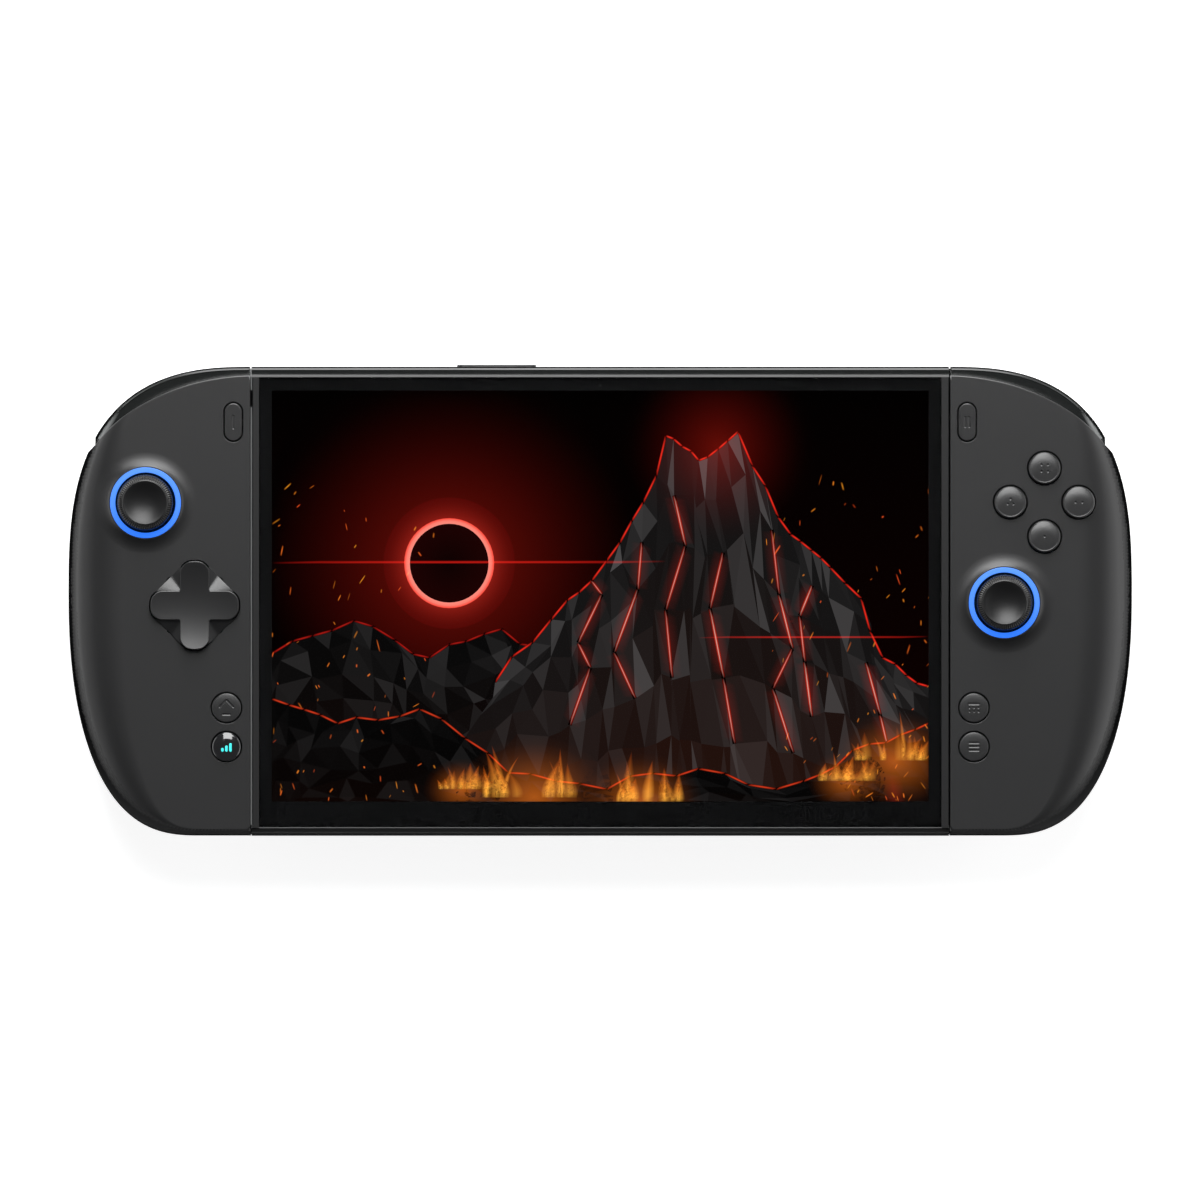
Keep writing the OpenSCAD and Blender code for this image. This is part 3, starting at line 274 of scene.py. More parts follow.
def slope_normals(flat, height, step=0.004):
    """Upward normals of a height function, from its slope."""
    dx, dy = ((height(flat + way) - height(flat - way)) / (2 * step) for way in step * np.eye(2))
    return unit(np.stack([-dx, -dy, np.ones(len(flat))], 1))


def surface(outline, loops, spots, height, keep=None, rim=None):
    """Triangles over an outline, inner loops and spots, lifted by a height function and shaded by its slope.

    keep tells from their middles which triangles stay, and the slope of rim picks each triangle's finish, which
    paints shade where the slope is steep."""
    points, edges = [], []
    for loop, closed in [(outline, True)] + loops:
        base, n = len(points), len(loop)
        points += [tuple(p) for p in loop]
        edges += [(base + i, base + (i + 1) % n) for i in range(n if closed else n - 1)]
    points += [tuple(p) for p in spots]
    found, _, tris, *_ = delaunay_2d_cdt([Vector(p) for p in points], edges, [], 0, 1e-5)
    flat = np.array([(p[0], p[1]) for p in found])
    tris = np.array([t for t in tris if len(t) == 3])
    corners, centre = flat[tris], flat[tris].mean(1)
    (ux, uy), (vx, vy) = (corners[:, 1] - corners[:, 0]).T, (corners[:, 2] - corners[:, 0]).T
    fits = (np.abs(ux * vy - uy * vx) > 1e-7) & inside(centre, outline)
    if keep:
        fits &= keep(centre)
    used, tris = np.unique(tris[fits], return_inverse=True)
    flat, tris = flat[used], tris.reshape(-1, 3)
    marks = rim_shade_band(slope_normals(flat[tris].mean(1), rim)) if rim else 0
    return Form().add(at_height(flat, height(flat)), tris, slope_normals(flat, height), marks)


def wall(form, loop, top, low, inward, mark=0, closed=True):
    """Upright strip under a loop. inward is 1 where the wall faces the left of the loop's way, else -1."""
    face = unit(offset(loop, 1.0, closed) - loop) * inward
    points = np.concatenate([at_height(loop, z) for z in (top, low)])
    form.add(points, grid_faces(2, len(loop), closed), np.tile(at_height(face, 0), (2, 1)), mark)


def lathe(profile, n, wobble=None):
    """Turned form about the Z axis through the origin, from (radius, height) points."""
    a = np.arange(n) * 2 * math.pi / n
    r, z = (np.repeat(np.array(v, float)[:, None], n, 1) for v in zip(*profile))
    if wobble:
        r, z = wobble(r, z, a)
    points = np.stack([r * np.cos(a), r * np.sin(a), z], 2)
    around = np.roll(points, -1, axis=1) - np.roll(points, 1, axis=1)
    normals = np.cross(np.gradient(points, axis=0), around)
    normals[np.linalg.norm(normals, axis=2) < 1e-9] = (0, 0, 1)
    return Form().add(points.reshape(-1, 3), grid_faces(len(profile), n, True), unit(normals).reshape(-1, 3))


# Controller surface


def ring_level(x, y, k):
    """Below 1 inside the outline drawn in by the share k of the edge rounding, above 1 outside."""
    out, top, low = OUTER - ROUND_W * k, HALF_H - LIP_STEP * k, HALF_H - LOW_ROUND * k
    up = y >= MID_Y
    ax = np.where(up, (x - SEAM) / (out - SEAM), (x - LOW_CORNER) / (out - LOW_CORNER))
    ay = np.where(up, (y - MID_Y) / (top - MID_Y), (MID_Y - y) / (low + MID_Y))
    px, py = (np.where(up, high + SQUARER * k, low) for high, low in zip(TOP_POWER, LOW_POWER))
    return np.maximum(ax, 0) ** px + np.maximum(ay, 0) ** py


def round_angle(flat):
    """Angle of the edge rounding at each point: 0 at the outline, a right angle on the flat face."""
    x, y = flat[:, 0], flat[:, 1]
    low, high = np.zeros(len(flat)), np.full(len(flat), math.pi / 2)
    for _ in range(36):
        mid = (low + high) / 2
        within = ring_level(x, y, 1 - np.cos(mid)) < 1
        low, high = np.where(within, mid, low), np.where(within, high, mid)
    return low


def base_height(flat):
    return WIDEST + ROUND_Z * np.sin(round_angle(flat))


def curved(centre, reach, power, t):
    """Points of a quarter of a superellipse at angles t."""
    c, s = np.maximum(np.cos(t), 0), np.maximum(np.sin(t), 0)
    return np.stack([centre[0] + reach[0] * c ** (2 / power[0]), centre[1] + reach[1] * s ** (2 / power[1])], 1)


def ring_points(angle, n):
    """Outer part of the outline, from the seam at the top round to the seam at the bottom, evenly spaced."""
    k = 1 - math.cos(angle)
    out, top, low = OUTER - ROUND_W * k, HALF_H - LIP_STEP * k, -HALF_H + LOW_ROUND * k
    t = np.linspace(math.pi / 2, 0, 1500)
    upper = curved((SEAM, MID_Y), (out - SEAM, top - MID_Y), [p + SQUARER * k for p in TOP_POWER], t)
    lower = curved((LOW_CORNER, MID_Y), (out - LOW_CORNER, low - MID_Y), LOW_POWER, t[::-1][1:])
    dense = np.concatenate([upper, lower, [[SEAM, low]]])
    length = np.concatenate([[0], np.cumsum(np.linalg.norm(np.diff(dense, axis=0), axis=1))])
    even = np.linspace(0, length[-1], n)
    return np.stack([np.interp(even, length, dense[:, i]) for i in range(2)], 1)


def lip_curve(n, tuck=0.0):
    """Upper edge of the front plate, from the seam to the end of the bumper."""
    t = np.linspace(math.pi / 2, 0, 4 * n)
    x, y = curved((SEAM, MID_Y), (OUTER - SEAM, HALF_H - LIP_STEP - MID_Y), LIP_POWER, t).T
    stations = np.linspace(SEAM, BUMPER_END, n)
    out = LIP_OUT * np.clip((LIP_OUT_END - stations) / LIP_OUT_FADE, 0, 1)
    return np.stack([stations, np.interp(stations, x, y - tuck) + out], 1)


def rounding(d, e):
    """Drop of a rounded edge at a distance d from it, with radius e."""
    c = np.clip(1 - np.maximum(d, 0) / e, 0, 1)
    return e * (1 - np.sqrt(np.maximum(1 - c * c, 0)))


def edge_steps(e, n=5):
    """Distances from a rounded edge that share its turn out evenly, and one just past it."""
    return [e * (1 - math.cos(math.pi / 2 * i / n)) for i in range(n + 1)] + [e + 0.06]


def collar_height(distance):
    """Flare that rises towards the light ring, a curve through three points."""
    linear = 2 * (COLLAR_OUT - COLLAR_PULL)
    square = COLLAR_OUT - 2 * COLLAR_PULL + COLLAR_IN
    x = np.clip(distance, COLLAR_IN, COLLAR_OUT)
    t = (linear - np.sqrt(np.maximum(linear ** 2 - 4 * square * (COLLAR_OUT - x), 0))) / (2 * square)
    return 2 * t * (1 - t) * COLLAR_TOE + t * t * COLLAR_H


def grip_angle(z):
    """Angle of the grip's back at a height."""
    return math.asin(((WIDEST - z) / WIDEST * GRIP_TIP) ** (GRIP_POWER / 2))


def back_ring(loop, angle):
    """Outline drawn towards the rest point at an angle of the grip's back, at the height there."""
    points = REST + (loop - REST) * math.cos(angle) ** (2 / GRIP_POWER)
    points[:, 0] = np.maximum(points[:, 0], SEAM)
    return at_height(points, WIDEST - WIDEST * math.sin(angle) ** (2 / GRIP_POWER) / GRIP_TIP)


def add_side(form, loop, low, rings, mark=0):
    """Side of a controller from its widest line down to a height."""
    grid = np.array([back_ring(loop, a) for a in np.linspace(0, grip_angle(low), rings)])
    normals = unit(np.cross(np.gradient(grid, axis=1), np.gradient(grid, axis=0)))
    normals[(normals[:, :, :2] * (grid[:, :, :2] - REST)).sum(2) < 0] *= -1
    form.add(grid.reshape(-1, 3), grid_faces(rings, len(loop)), normals.reshape(-1, 3), mark)


class Hole:
    """Opening in the face: its outline grown by d, and the distance of points from it."""

    def __init__(self, loop, distance, edge=EDGE):
        self.loop, self.distance, self.edge = loop, distance, edge


def round_hole(centre, r, n=80, edge=EDGE):
    return Hole(lambda d: circle(centre, r + d, n), lambda p: np.hypot(*(p - centre).T) - r, edge)


def slot_hole(centre, w, l):
    return Hole(lambda d: stadium(centre, w, l, d), lambda p: slot_distance(p - centre, w, l))


# Direction pad outline, as in the solid model

PAD_SPAN, PAD_ARM = 25.4, 8.4
PAD_REACH, PAD_HALF = PAD_SPAN / 2, PAD_ARM / 2
PAD_CORNER = PAD_ARM * 0.42
PAD_TIP, PAD_SIDE = PAD_REACH - 1.6, PAD_HALF - 0.2
PAD_MID = (PAD_TIP + PAD_SIDE) / 2


def quarter_turns(points):
    """Points repeated at four quarter turns about the origin."""
    out = []
    for c, s in ((1, 0), (0, 1), (-1, 0), (0, -1)):
        out += [(c * x - s * y, s * x + c * y) for x, y in points]
    return np.array(out)


def arm_end(n=8):
    """Rounded end of the pad's right arm."""
    x, y = PAD_REACH - PAD_CORNER, PAD_HALF - PAD_CORNER
    return arc(x, -y, PAD_CORNER, -90, 0, n) + arc(x, y, PAD_CORNER, 0, 90, n)


def pad_hole():
    """Star outline of the opening round the direction pad."""
    loop = quarter_turns(arm_end() + [(PAD_MID, PAD_MID)])
    grown = lambda d: PAD + offset(loop, -(PAD_PLAY + d))
    polygon = grown(0)
    return Hole(grown, lambda p: polygon_distance(p, polygon) * np.where(inside(p, polygon), -1, 1), FINE_EDGE)


def control_holes(side):
    """Place of the stick and the openings in the face of a controller, on the right side."""
    left = side == "left"
    stick = LEFT_STICK if left else RIGHT_STICK
    small = ("home_button", "turbo_button") if left else ("keyboard_button", "menu_button")
    holes = [round_hole(stick, RING_HOLE, 144, FINE_EDGE)]
    holes += [round_hole(right_place(name), SMALL_R + PLAY) for name in small]
    holes.append(slot_hole(PILL_PLACE, PILL_W + 2 * PLAY, PILL_L + 2 * PLAY))
    if left:
        return stick, holes + [pad_hole()]
    return stick, holes + [round_hole(right_place(name), FACE_R + PLAY) for name in FACE_BUTTONS]


def shell_edges():
    """Edges of the front plate: its lip, the slant beside the bumper's end, the outline below, and the seam."""
    lip = lip_curve(LIP_COUNT)
    slant = np.array([lip[-1] + [t, -t] for t in np.linspace(0, 6, 25)[1:]])
    slant = slant[ring_level(*slant.T, 0.0) < 1]
    outline = ring_points(0.0, 300)
    below = outline[outline[:, 1] < slant[-1][1] - 0.2]
    seam_y = np.linspace(-HALF_H, LIP_Y, 90)[1:-1]
    return lip, slant, below, np.stack([np.full(len(seam_y), SEAM), seam_y], 1)


def shell_spots():
    """Points along the rounding of the front plate and over all of it."""
    angles = np.radians(np.concatenate([np.linspace(2, 12, 6), np.linspace(15, 90, 32)]))
    rings = [ring_points(angle, 190) for angle in angles]
    return np.concatenate(rings + [grid_points((SEAM + 1, OUTER), (-HALF_H, HALF_H), 3.0)])


def front_shell(side):
    """Front shell with rounded edges at every opening, its side down to the rear shell, and its walls."""
    stick, holes = control_holes(side)
    lip, slant, below, seam = shell_edges()
    boundary = np.concatenate([lip, slant, below, seam])
    sharp = np.concatenate([below[-1:], seam, lip, slant])

    def height(p):
        z = base_height(p) + collar_height(np.hypot(*(p - stick).T))
        drops = [LIP_SLOPE * np.maximum(LIP_BEVEL - polygon_distance(p, lip, closed=False), 0)]
        drops.append(rounding(polygon_distance(p, sharp, closed=False), EDGE))
        drops += [rounding(hole.distance(p), hole.edge) for hole in holes]
        return np.maximum(z - np.max(drops, axis=0), WIDEST)

    def keep(p):
        return np.all([hole.distance(p) > 0 for hole in holes], axis=0)

    loops = [(offset(sharp, -d, closed=False)[1:-1], False) for d in edge_steps(EDGE)[1:]]
    loops += [(offset(lip, -LIP_BEVEL - d, closed=False)[1:-1], False) for d in (-0.03, 0.03)]
    loops += [(hole.loop(d), True) for hole in holes for d in edge_steps(hole.edge)]
    loops += [(circle(stick, r, 144), True) for r in np.linspace(RING_HOLE + 0.3, COLLAR_OUT + 0.1, 18)]
    spots = shell_spots()
    near = polygon_distance(spots, sharp, closed=False) < LIP_BEVEL + SPOT_GAP
    near |= np.hypot(*(spots - stick).T) < COLLAR_OUT + 0.3
    for hole in holes:
        near |= hole.distance(spots) < hole.edge + SPOT_GAP
    form = surface(boundary, loops, spots[~near & inside(spots, boundary)], height, keep, base_height)
    for hole in holes:
        wall(form, hole.loop(0.0), height(hole.loop(0.0)), PLATE_UNDER, -1)
    wall(form, lip, height(lip), np.minimum(height(lip) - 0.1, PLATE_UNDER), 1, closed=False)
    add_side(form, below, SPLIT, 7)
    for line in (slant, np.concatenate([below[-1:], seam, lip[:1]])):
        wall(form, line, height(line), SPLIT, 1, closed=False)
    return form if side == "right" else form.mirror()


# Painted shade on the steep rim: the finishes darken from the first tilt on, one step per second angle, and the
# third angle counts against surfaces that face down the page.
RIM_TILT, RIM_STEP, RIM_DOWN_SHADE = (math.radians(v) for v in (41.5, 4.0, 20))
RIM_STEPS = 6
PLAIN = RIM_STEPS + 1


def rim_shade_band(normals):
    """Number of the rim's finish for a surface normal: 0 on the face, highest where the surface is steepest. Each
    higher finish paints more shade, and surfaces that face down the page count as steeper, so their painted shade
    starts sooner.
    """
    tilt = np.arccos(np.clip(normals[:, 2], -1, 1))
    flat = np.maximum(np.hypot(normals[:, 0], normals[:, 1]), 1e-6)
    tilt = tilt + RIM_DOWN_SHADE * np.clip(-normals[:, 1] / flat, 0, 1)
    return np.clip(np.ceil((tilt - RIM_TILT) / RIM_STEP), 0, RIM_STEPS).astype(int)


# Back of a controller

GRIP_SQUARE = 40
GRIP_INNER = SEAM - 1.4


def grip_ring(angle, n):
    """Full outline of the grip's back at an angle, the same points at every angle."""
    shape = smooth_step((0.97 - math.cos(angle) ** (2 / GRIP_POWER)) / 0.5)
    mix = lambda a, b: a + (b - a) * shape
    centre = (GRIP_INNER + OUTER) / 2
    top_x, low_x = mix(SEAM, centre), mix(LOW_CORNER, centre)
    top_p, low_p = (mix(np.array(power), GRIP_POWER) for power in (TOP_POWER, LOW_POWER))
    in_p = [GRIP_SQUARE + (GRIP_POWER - GRIP_SQUARE) * math.sqrt(shape)] * 2
    quarter = np.linspace(0, math.pi / 2, n, endpoint=False)
    turn = math.pi / 2 - quarter
    up, down = HALF_H - MID_Y, -HALF_H - MID_Y
    loop = np.concatenate([
        curved((top_x, MID_Y), (OUTER - top_x, up), top_p, quarter),
        curved((top_x, MID_Y), (GRIP_INNER - top_x, up), in_p, turn),
        curved((low_x, MID_Y), (GRIP_INNER - low_x, down), in_p, quarter),
        curved((low_x, MID_Y), (OUTER - low_x, down), low_p, turn)])
    return back_ring(loop, angle)


def grip_solid(mesh):
    """Closed grip behind the seam between the shells, before its openings."""
    rings = [grip_ring(a, 56) for a in np.linspace(grip_angle(SPLIT) + 0.004, REST_ANGLE, 44)]
    count = len(rings[0])
    made = [mesh.verts.new(Vector(p) * MM) for ring in rings for p in ring]
    for face in grid_faces(len(rings), count, True):
        mesh.faces.new([made[i] for i in face])
    mesh.faces.new(made[:count])
    mesh.faces.new(made[-count:][::-1])
    bmesh.ops.remove_doubles(mesh, verts=mesh.verts, dist=1e-6)
    bmesh.ops.recalc_face_normals(mesh, faces=mesh.faces)


def built(name, build):
    """Object whose mesh is filled by a function."""
    mesh = bmesh.new()
    build(mesh)
    data = bpy.data.meshes.new(name)
    mesh.to_mesh(data)
    mesh.free()
    return new_object(name, data)


def add_box(mesh, low, high):
    low, high = Vector(low) * MM, Vector(high) * MM
    for v in bmesh.ops.create_cube(mesh, size=1.0)["verts"]:
        v.co = Vector(low[i] + (v.co[i] + 0.5) * (high[i] - low[i]) for i in range(3))


def add_rod(mesh, centre, r, low, high, n=40):
    made = bmesh.ops.create_cone(mesh, cap_ends=True, segments=n, radius1=r * MM, radius2=r * MM,
                                 depth=(high - low) * MM)["verts"]
    for v in made:
        v.co += Vector((*centre, (low + high) / 2)) * MM


def add_wedge(mesh):
    """Prism for the notch by the bumper's end, bounded by an upright plane and a 45 degree one."""
    x, y = lip_curve(LIP_COUNT)[-1] + [BUMPER_STOP - BUMPER_END, BUMPER_END - BUMPER_STOP]
    wide, tall = 30, 60
    base = [(x, y), (x + wide, y - wide), (x + wide, y + tall), (x, y + tall)]
    low, high = ([mesh.verts.new(Vector((a, b, z)) * MM) for a, b in base] for z in (BELOW_ALL, FACE))
    mesh.faces.new(low[::-1])
    mesh.faces.new(high)
    for i in range(4):
        j = (i + 1) % 4
        mesh.faces.new((low[i], low[j], high[j], high[i]))


def add_openings(mesh):
    """Trigger's pocket and the screw wells."""
    (x0, _, _), (x1, y1, z1) = mm_box("right_trigger")
    inset, depth, well_r, well_rest = 1.6 - 0.4, 22, 2.2, 4
    add_box(mesh, (x0 + inset, y1 - depth, BELOW_ALL), (x1 - inset, HALF_H + 20, z1 + 0.6))
    for place in screw_places():
        add_rod(mesh, place, well_r, BELOW_ALL, SPLIT - well_rest)


def screw_places():
    """Middles of the controller screws on the right side, from the solids."""
    points = np.array([v.co for v in NODES["right_screws"].data.vertices]) / MM
    heads = points[points[:, 2] < points[:, 2].min() + 1.0][:, :2]
    places = []
    for p in heads:
        known = [q for q in places if np.hypot(*(p - q[0])) < 6]
        if known:
            known[0].append(p)
        else:
            places.append([p])
    return [(np.min(q, axis=0) + np.max(q, axis=0)) / 2 for q in places]


def rear_shell(side, material):
    """Back of the grip with the trigger's pocket, the screw wells and the notch by the bumper cut out."""
    name = f"{side}_grip_back"
    solid, *cuts = (built(*item) for item in (
        ("grip_solid", grip_solid), ("cut_openings", add_openings), ("cut_notch", add_wedge)))
    for cut in cuts:
        m = solid.modifiers.new("cut", "BOOLEAN")
        m.object, m.operation, m.solver = cut, "DIFFERENCE", "EXACT"
    baked = bpy.data.meshes.new_from_object(solid.evaluated_get(bpy.context.evaluated_depsgraph_get()))
    for used in (solid, *cuts):
        bpy.data.objects.remove(used)
    if side == "left":
        for v in baked.vertices:
            v.co.x = -v.co.x
        baked.flip_normals()
    baked.name = name
    baked.materials.clear()
    baked.materials.append(material)
    smooth_by_angle(baked, 32)
    add_piece(name, baked, f"{side}_controller", [f"{side}_rear_shell"])


def smooth_by_angle(data, degrees):
    data.polygons.foreach_set("use_smooth", [True] * len(data.polygons))
    data.set_sharp_from_angle(angle=math.radians(degrees))


# Bumpers. The cross-section of the top rail is theirs too: insets from the outline with the rise there

RAIL_INSET = (0.0, 0.4, 0.65, 0.9, 1.2)
RAIL_RISE = (-1.6, -0.3, -0.07, 0.1, 0.02)
RAIL_W = 2.45
RAIL_FILLET, RAIL_RISE_IN = 1.2, 0.08
FILLET_END, FILLET_FADE = LIP_OUT_END + 7, 12
FACET_PLACE = np.array([OUTER - 14.5, HALF_H - 14.6])
FACET_WAY = np.array([0.88, 0.475])
FACET_SLOPE, FACET_BLEND = 0.8, 1.5
BUMPER_TUCK, BUMPER_EDGE, BUMPER_START_EDGE = 1.2, 1.4, 0.2


def bumper_edges():
    """Outer edge, end and lip side of the shoulder bar."""
    lip = lip_curve(LIP_COUNT, BUMPER_TUCK)
    lip = lip[lip[:, 0] > BUMPER_START]
    lip = np.concatenate([[[BUMPER_START, lip[0][1]]], lip, [[BUMPER_STOP, lip[-1][1]]]])
    outer = ring_points(0.0, 420)
    outer = outer[(outer[:, 1] > MID_Y) & (outer[:, 0] > BUMPER_START) & (outer[:, 0] < BUMPER_STOP)]
    x, y = outer[-1]
    close = np.interp(BUMPER_STOP, [x, OUTER], [y, y - 9])
    outer = np.concatenate([[[BUMPER_START, HALF_H]], outer, [[BUMPER_STOP, close]]])
    end = np.array([[BUMPER_STOP, v] for v in np.linspace(close, lip[-1][1], 8)[1:-1]])
    return outer, end, lip


def bumper_height(p, outer):
    """Rail section along the outline, with a facet that slopes towards the end and rounded ends."""
    x = p[:, 0]
    rail = np.interp(polygon_distance(p, outer, closed=False), RAIL_INSET, RAIL_RISE)
    near = np.maximum(1 - polygon_distance(p, lip_curve(LIP_COUNT), closed=False) / RAIL_FILLET, 0)
    fillet = RAIL_RISE_IN * near * near * np.clip((FILLET_END - x) / FILLET_FADE, 0, 1)
    past = np.maximum((p - FACET_PLACE) @ FACET_WAY, 0)
    facet = FACET_SLOPE * np.where(past < FACET_BLEND, past * past / (2 * FACET_BLEND), past - FACET_BLEND / 2)
    ends = np.maximum(rounding(BUMPER_STOP - x, BUMPER_EDGE), rounding(x - BUMPER_START, BUMPER_START_EDGE))
    return BUMPER_HIGH[2] + rail + fillet - facet - ends


def bumper_spots(outer, lip, boundary):
    """Points of the shoulder bar along its rail section, its lip, its end and its facet."""
    insets = [k + e for k in RAIL_INSET[1:] for e in (-0.03, 0.03)] + [0.45, 0.75, 1.4]
    rows = [offset(outer, -d, closed=False)[1:-1] for d in insets]
    rows += [lip_curve(90, BUMPER_TUCK * (1 - share) - 1.5 * share) for share in np.linspace(0.06, 0.94, 15)]
    end_y = np.linspace(lip[-1][1], outer[-1][1], 12)
    rows += [[(BUMPER_STOP - d, y) for y in end_y] for d in edge_steps(BUMPER_EDGE)[1:]]
    across = np.outer(np.linspace(-8, 10, 60), (FACET_WAY[1], -FACET_WAY[0]))
    rows += [FACET_PLACE + FACET_WAY * e + across for e in np.linspace(0, 3, 11)]
    spots = np.concatenate(rows)
    spots = spots[inside(spots, boundary) & (spots[:, 0] > BUMPER_START + 0.25)]
    return spots[polygon_distance(spots, boundary) > 0.02]


def bumper(side):
    """Glossy shoulder bar between the lip of the front plate and the outline."""
    outer, end, lip = bumper_edges()
    boundary = np.concatenate([outer, end, lip[::-1]])
    height = lambda p: bumper_height(p, outer)
    form = surface(boundary, [], bumper_spots(outer, lip, boundary), height, rim=height)
    low = BUMPER_LOW[2]
    wall(form, outer, height(outer), WIDEST, 1, PLAIN, closed=False)
    add_side(form, outer, low, 6, PLAIN)
    stop_edge = np.concatenate([outer[-1:], end, lip[-1:]])
    start_edge = np.array([[BUMPER_START, y] for y in np.linspace(lip[0][1], HALF_H, 10)])
    for line in (stop_edge, start_edge):
        wall(form, line, height(line), low, 1, PLAIN, closed=False)
    return form if side == "right" else form.mirror()


# Buttons and sticks

CROWN = 4.2
LEAN = 0.35
BEAD_IN, BEAD_W, BEAD_H = 0.42, 0.2, 0.08
GROOVE_FLOOR, GROOVE_RIM = 0.35, 1.35
SMALL_PROUD, FACE_PROUD, TURBO_PROUD = 0.5, 1.7, 1.0


def groove_loops(x, y, length, degrees, width):
    """Outlines round a bar-shaped groove, from its floor to its rim."""
    t = math.radians(degrees)
    turn = np.array([[math.cos(t), math.sin(t)], [-math.sin(t), math.cos(t)]])
    radii = width * np.linspace(GROOVE_FLOOR, GROOVE_RIM, 5)
    return [stadium((0, 0), 2 * r, length + 2 * r, 0, 9) @ turn + [x, y] for r in radii]


def groove(p, marks, depth, width):
    """Depth of marks: bars given as (x, y, length, degrees), dots as length zero."""
    drop = np.zeros(len(p))
    for x, y, length, degrees in marks:
        t = math.radians(degrees)
        way = np.array([-math.sin(t), math.cos(t)])
        along = np.clip((p - [x, y]) @ way, -length / 2, length / 2)
        d = np.linalg.norm(p - [x, y] - along[:, None] * way, axis=1)
        drop = np.maximum(drop, depth * smooth_step(GROOVE_RIM - d / width))
    return drop


def button(outline, loops, spots, height, low=BUTTON_FOOT):
    """Top of a button and the wall below its rim."""
    form = surface(outline, [(loop, True) for loop in loops], spots, height)
    wall(form, outline, height(outline), low, -1)
    return form


def marked_button(name, r, proud, dome, edge, marks, depth=0.16, width=0.34, bead=(0, 0), arch=0.0):
    """Round button whose marks are shallow grooves.

    bead weighs a fine raised line near the rim by the distance to either side and up.
    arch curves the top across."""
    lean = LEAN * r
    fall = dome - math.sqrt(dome * dome - (r - edge) ** 2)

    def height(p):
        (x, y), d = p.T, np.hypot(*p.T)
        z = FACE + proud - fall * (np.hypot(x, y + lean) / (r - edge + lean)) ** CROWN
        weight = np.clip((bead[0] * np.abs(x) + bead[1] * y) / r, 0, 1)
        line = BEAD_H * weight * np.exp(-((r - d - BEAD_IN) / BEAD_W) ** 2)
        return z - rounding(r - d, edge) - groove(p, marks, depth, width) - arch * x ** 2 + line

    insets = edge_steps(edge, 6)[1:-1] + [edge + 0.07 * i for i in (1, 2, 3, 4)]
    loops = [circle((0, 0), r - d, 96) for d in insets]
    loops += [loop for mark in marks for loop in groove_loops(*mark, width)]
    spots = [circle((0, 0), x, max(10, int(x * 28))) for x in np.arange(0.4, r - edge - 0.4, 0.22)]
    return button(circle((0, 0), r, 96), loops, np.concatenate(spots), height).moved(*middle(name)[:2])


def pill_button(side, marks):
    """Round-ended flat button with rounded rim and bar marks."""
    edge, depth, width = 0.35, 0.14, 0.34

    def height(p):
        rim = rounding(-slot_distance(p, PILL_W, PILL_L), edge)
        return FACE + SMALL_PROUD - rim - groove(p, marks, depth, width)

    loops = [stadium((0, 0), PILL_W, PILL_L, -d) for d in edge_steps(edge, 6)[1:]]
    loops += [loop for mark in marks for loop in groove_loops(*mark, width)]
    grid = grid_points((-2.4, 2.4), (-5.4, 5.4), 0.4)
    spots = grid[slot_distance(grid, PILL_W, PILL_L) < -edge - SPOT_GAP]
    form = button(stadium((0, 0), PILL_W, PILL_L, 0), loops, spots, height)
    return form.moved(side * PILL_PLACE[0], PILL_PLACE[1])


def level_mark(name, proud):
    """Three rounded bars of rising length, a little proud of a button."""
    form = Form()
    z = FACE + proud + 0.03
    rings = ((0.0, z - 0.3), (0.0, z), (0.06, z + 0.05), (0.16, z + 0.06))
    for x, length in ((-1.15, 1.1), (0.0, 1.8), (1.15, 2.5)):
        loops = [stadium((x, length / 2 - 1.45), 0.75, length, -d, 10) for d, _ in rings]
        levels = [at_height(loop, h) for loop, (_, h) in zip(loops, rings)]
        out, n = offset(loops[0], -1.0) - loops[0], len(loops[0])
        for low, high, tilt in zip(levels, levels[1:], np.radians((0, 45, 84))):
            normals = at_height(out * math.cos(tilt), math.sin(tilt))
            form.add(np.concatenate([low, high]), grid_faces(2, n, True), np.tile(normals, (2, 1)))
        form.add(levels[-1], [range(n)], [(0, 0, 1)] * n)
    return form.moved(*middle(name)[:2])


def stick_cap(place):
    """Rubber cap with a dished top and a fine knurled shoulder, on its neck and dome."""
    top, cap_r, neck_r, ball_r = FACE + 7.2, 8.0, 4.0, 9.8
    dish, dish_r, crest_r = 16.0, 6.0, 0.32
    low = top - (dish - math.sqrt(dish ** 2 - dish_r ** 2))
    bowl = [(max(x, 1e-4), low + dish - math.sqrt(dish ** 2 - x ** 2)) for x in np.linspace(0, 5.7, 16)]
    crest = arc(6.2, top - crest_r, crest_r, 130, 40, 7)
    turn = np.linspace(0.15, math.pi / 2, 12)
    shoulder = [(6.7 + 1.2 * math.sin(t), top - 0.35 - 0.85 * (1 - math.cos(t))) for t in turn]
    side = [(cap_r, top - 1.35), (cap_r, top - 2.3)] + arc(cap_r - 0.3, top - 2.3, 0.3, 0, -90, 5)
    neck = [(neck_r + 0.3, top - 2.6), (neck_r, top - 3.0), (neck_r, FACE + 1.6)]
    profile = bowl + crest + shoulder + side + neck + arc(0, FACE - 8, ball_r, 65, 35, 10)
    ridge = np.array([[1.0 if 6.75 < r < cap_r + 0.01 and z > top - 2.0 else 0.0] for r, z in profile])

    def knurl(r, z, a):
        wave = ridge * (0.5 - 0.5 * np.cos(72 * a))
        return r - 0.28 * wave, z - 0.05 * wave

    return lathe(profile, 576, knurl).moved(*place)


def light_ring(place):
    """Diffuser ring with rounded top edges."""
    inner, outer, top, low, e = 8.7, 10.2, FACE + COLLAR_H, FACE - 1, 0.22
    crown = arc(inner + e, top - e, e, 180, 90, 6) + arc(outer - e, top - e, e, 90, 0, 6)
    return lathe([(inner, low)] + crown + [(outer, low)], 144).moved(*place)


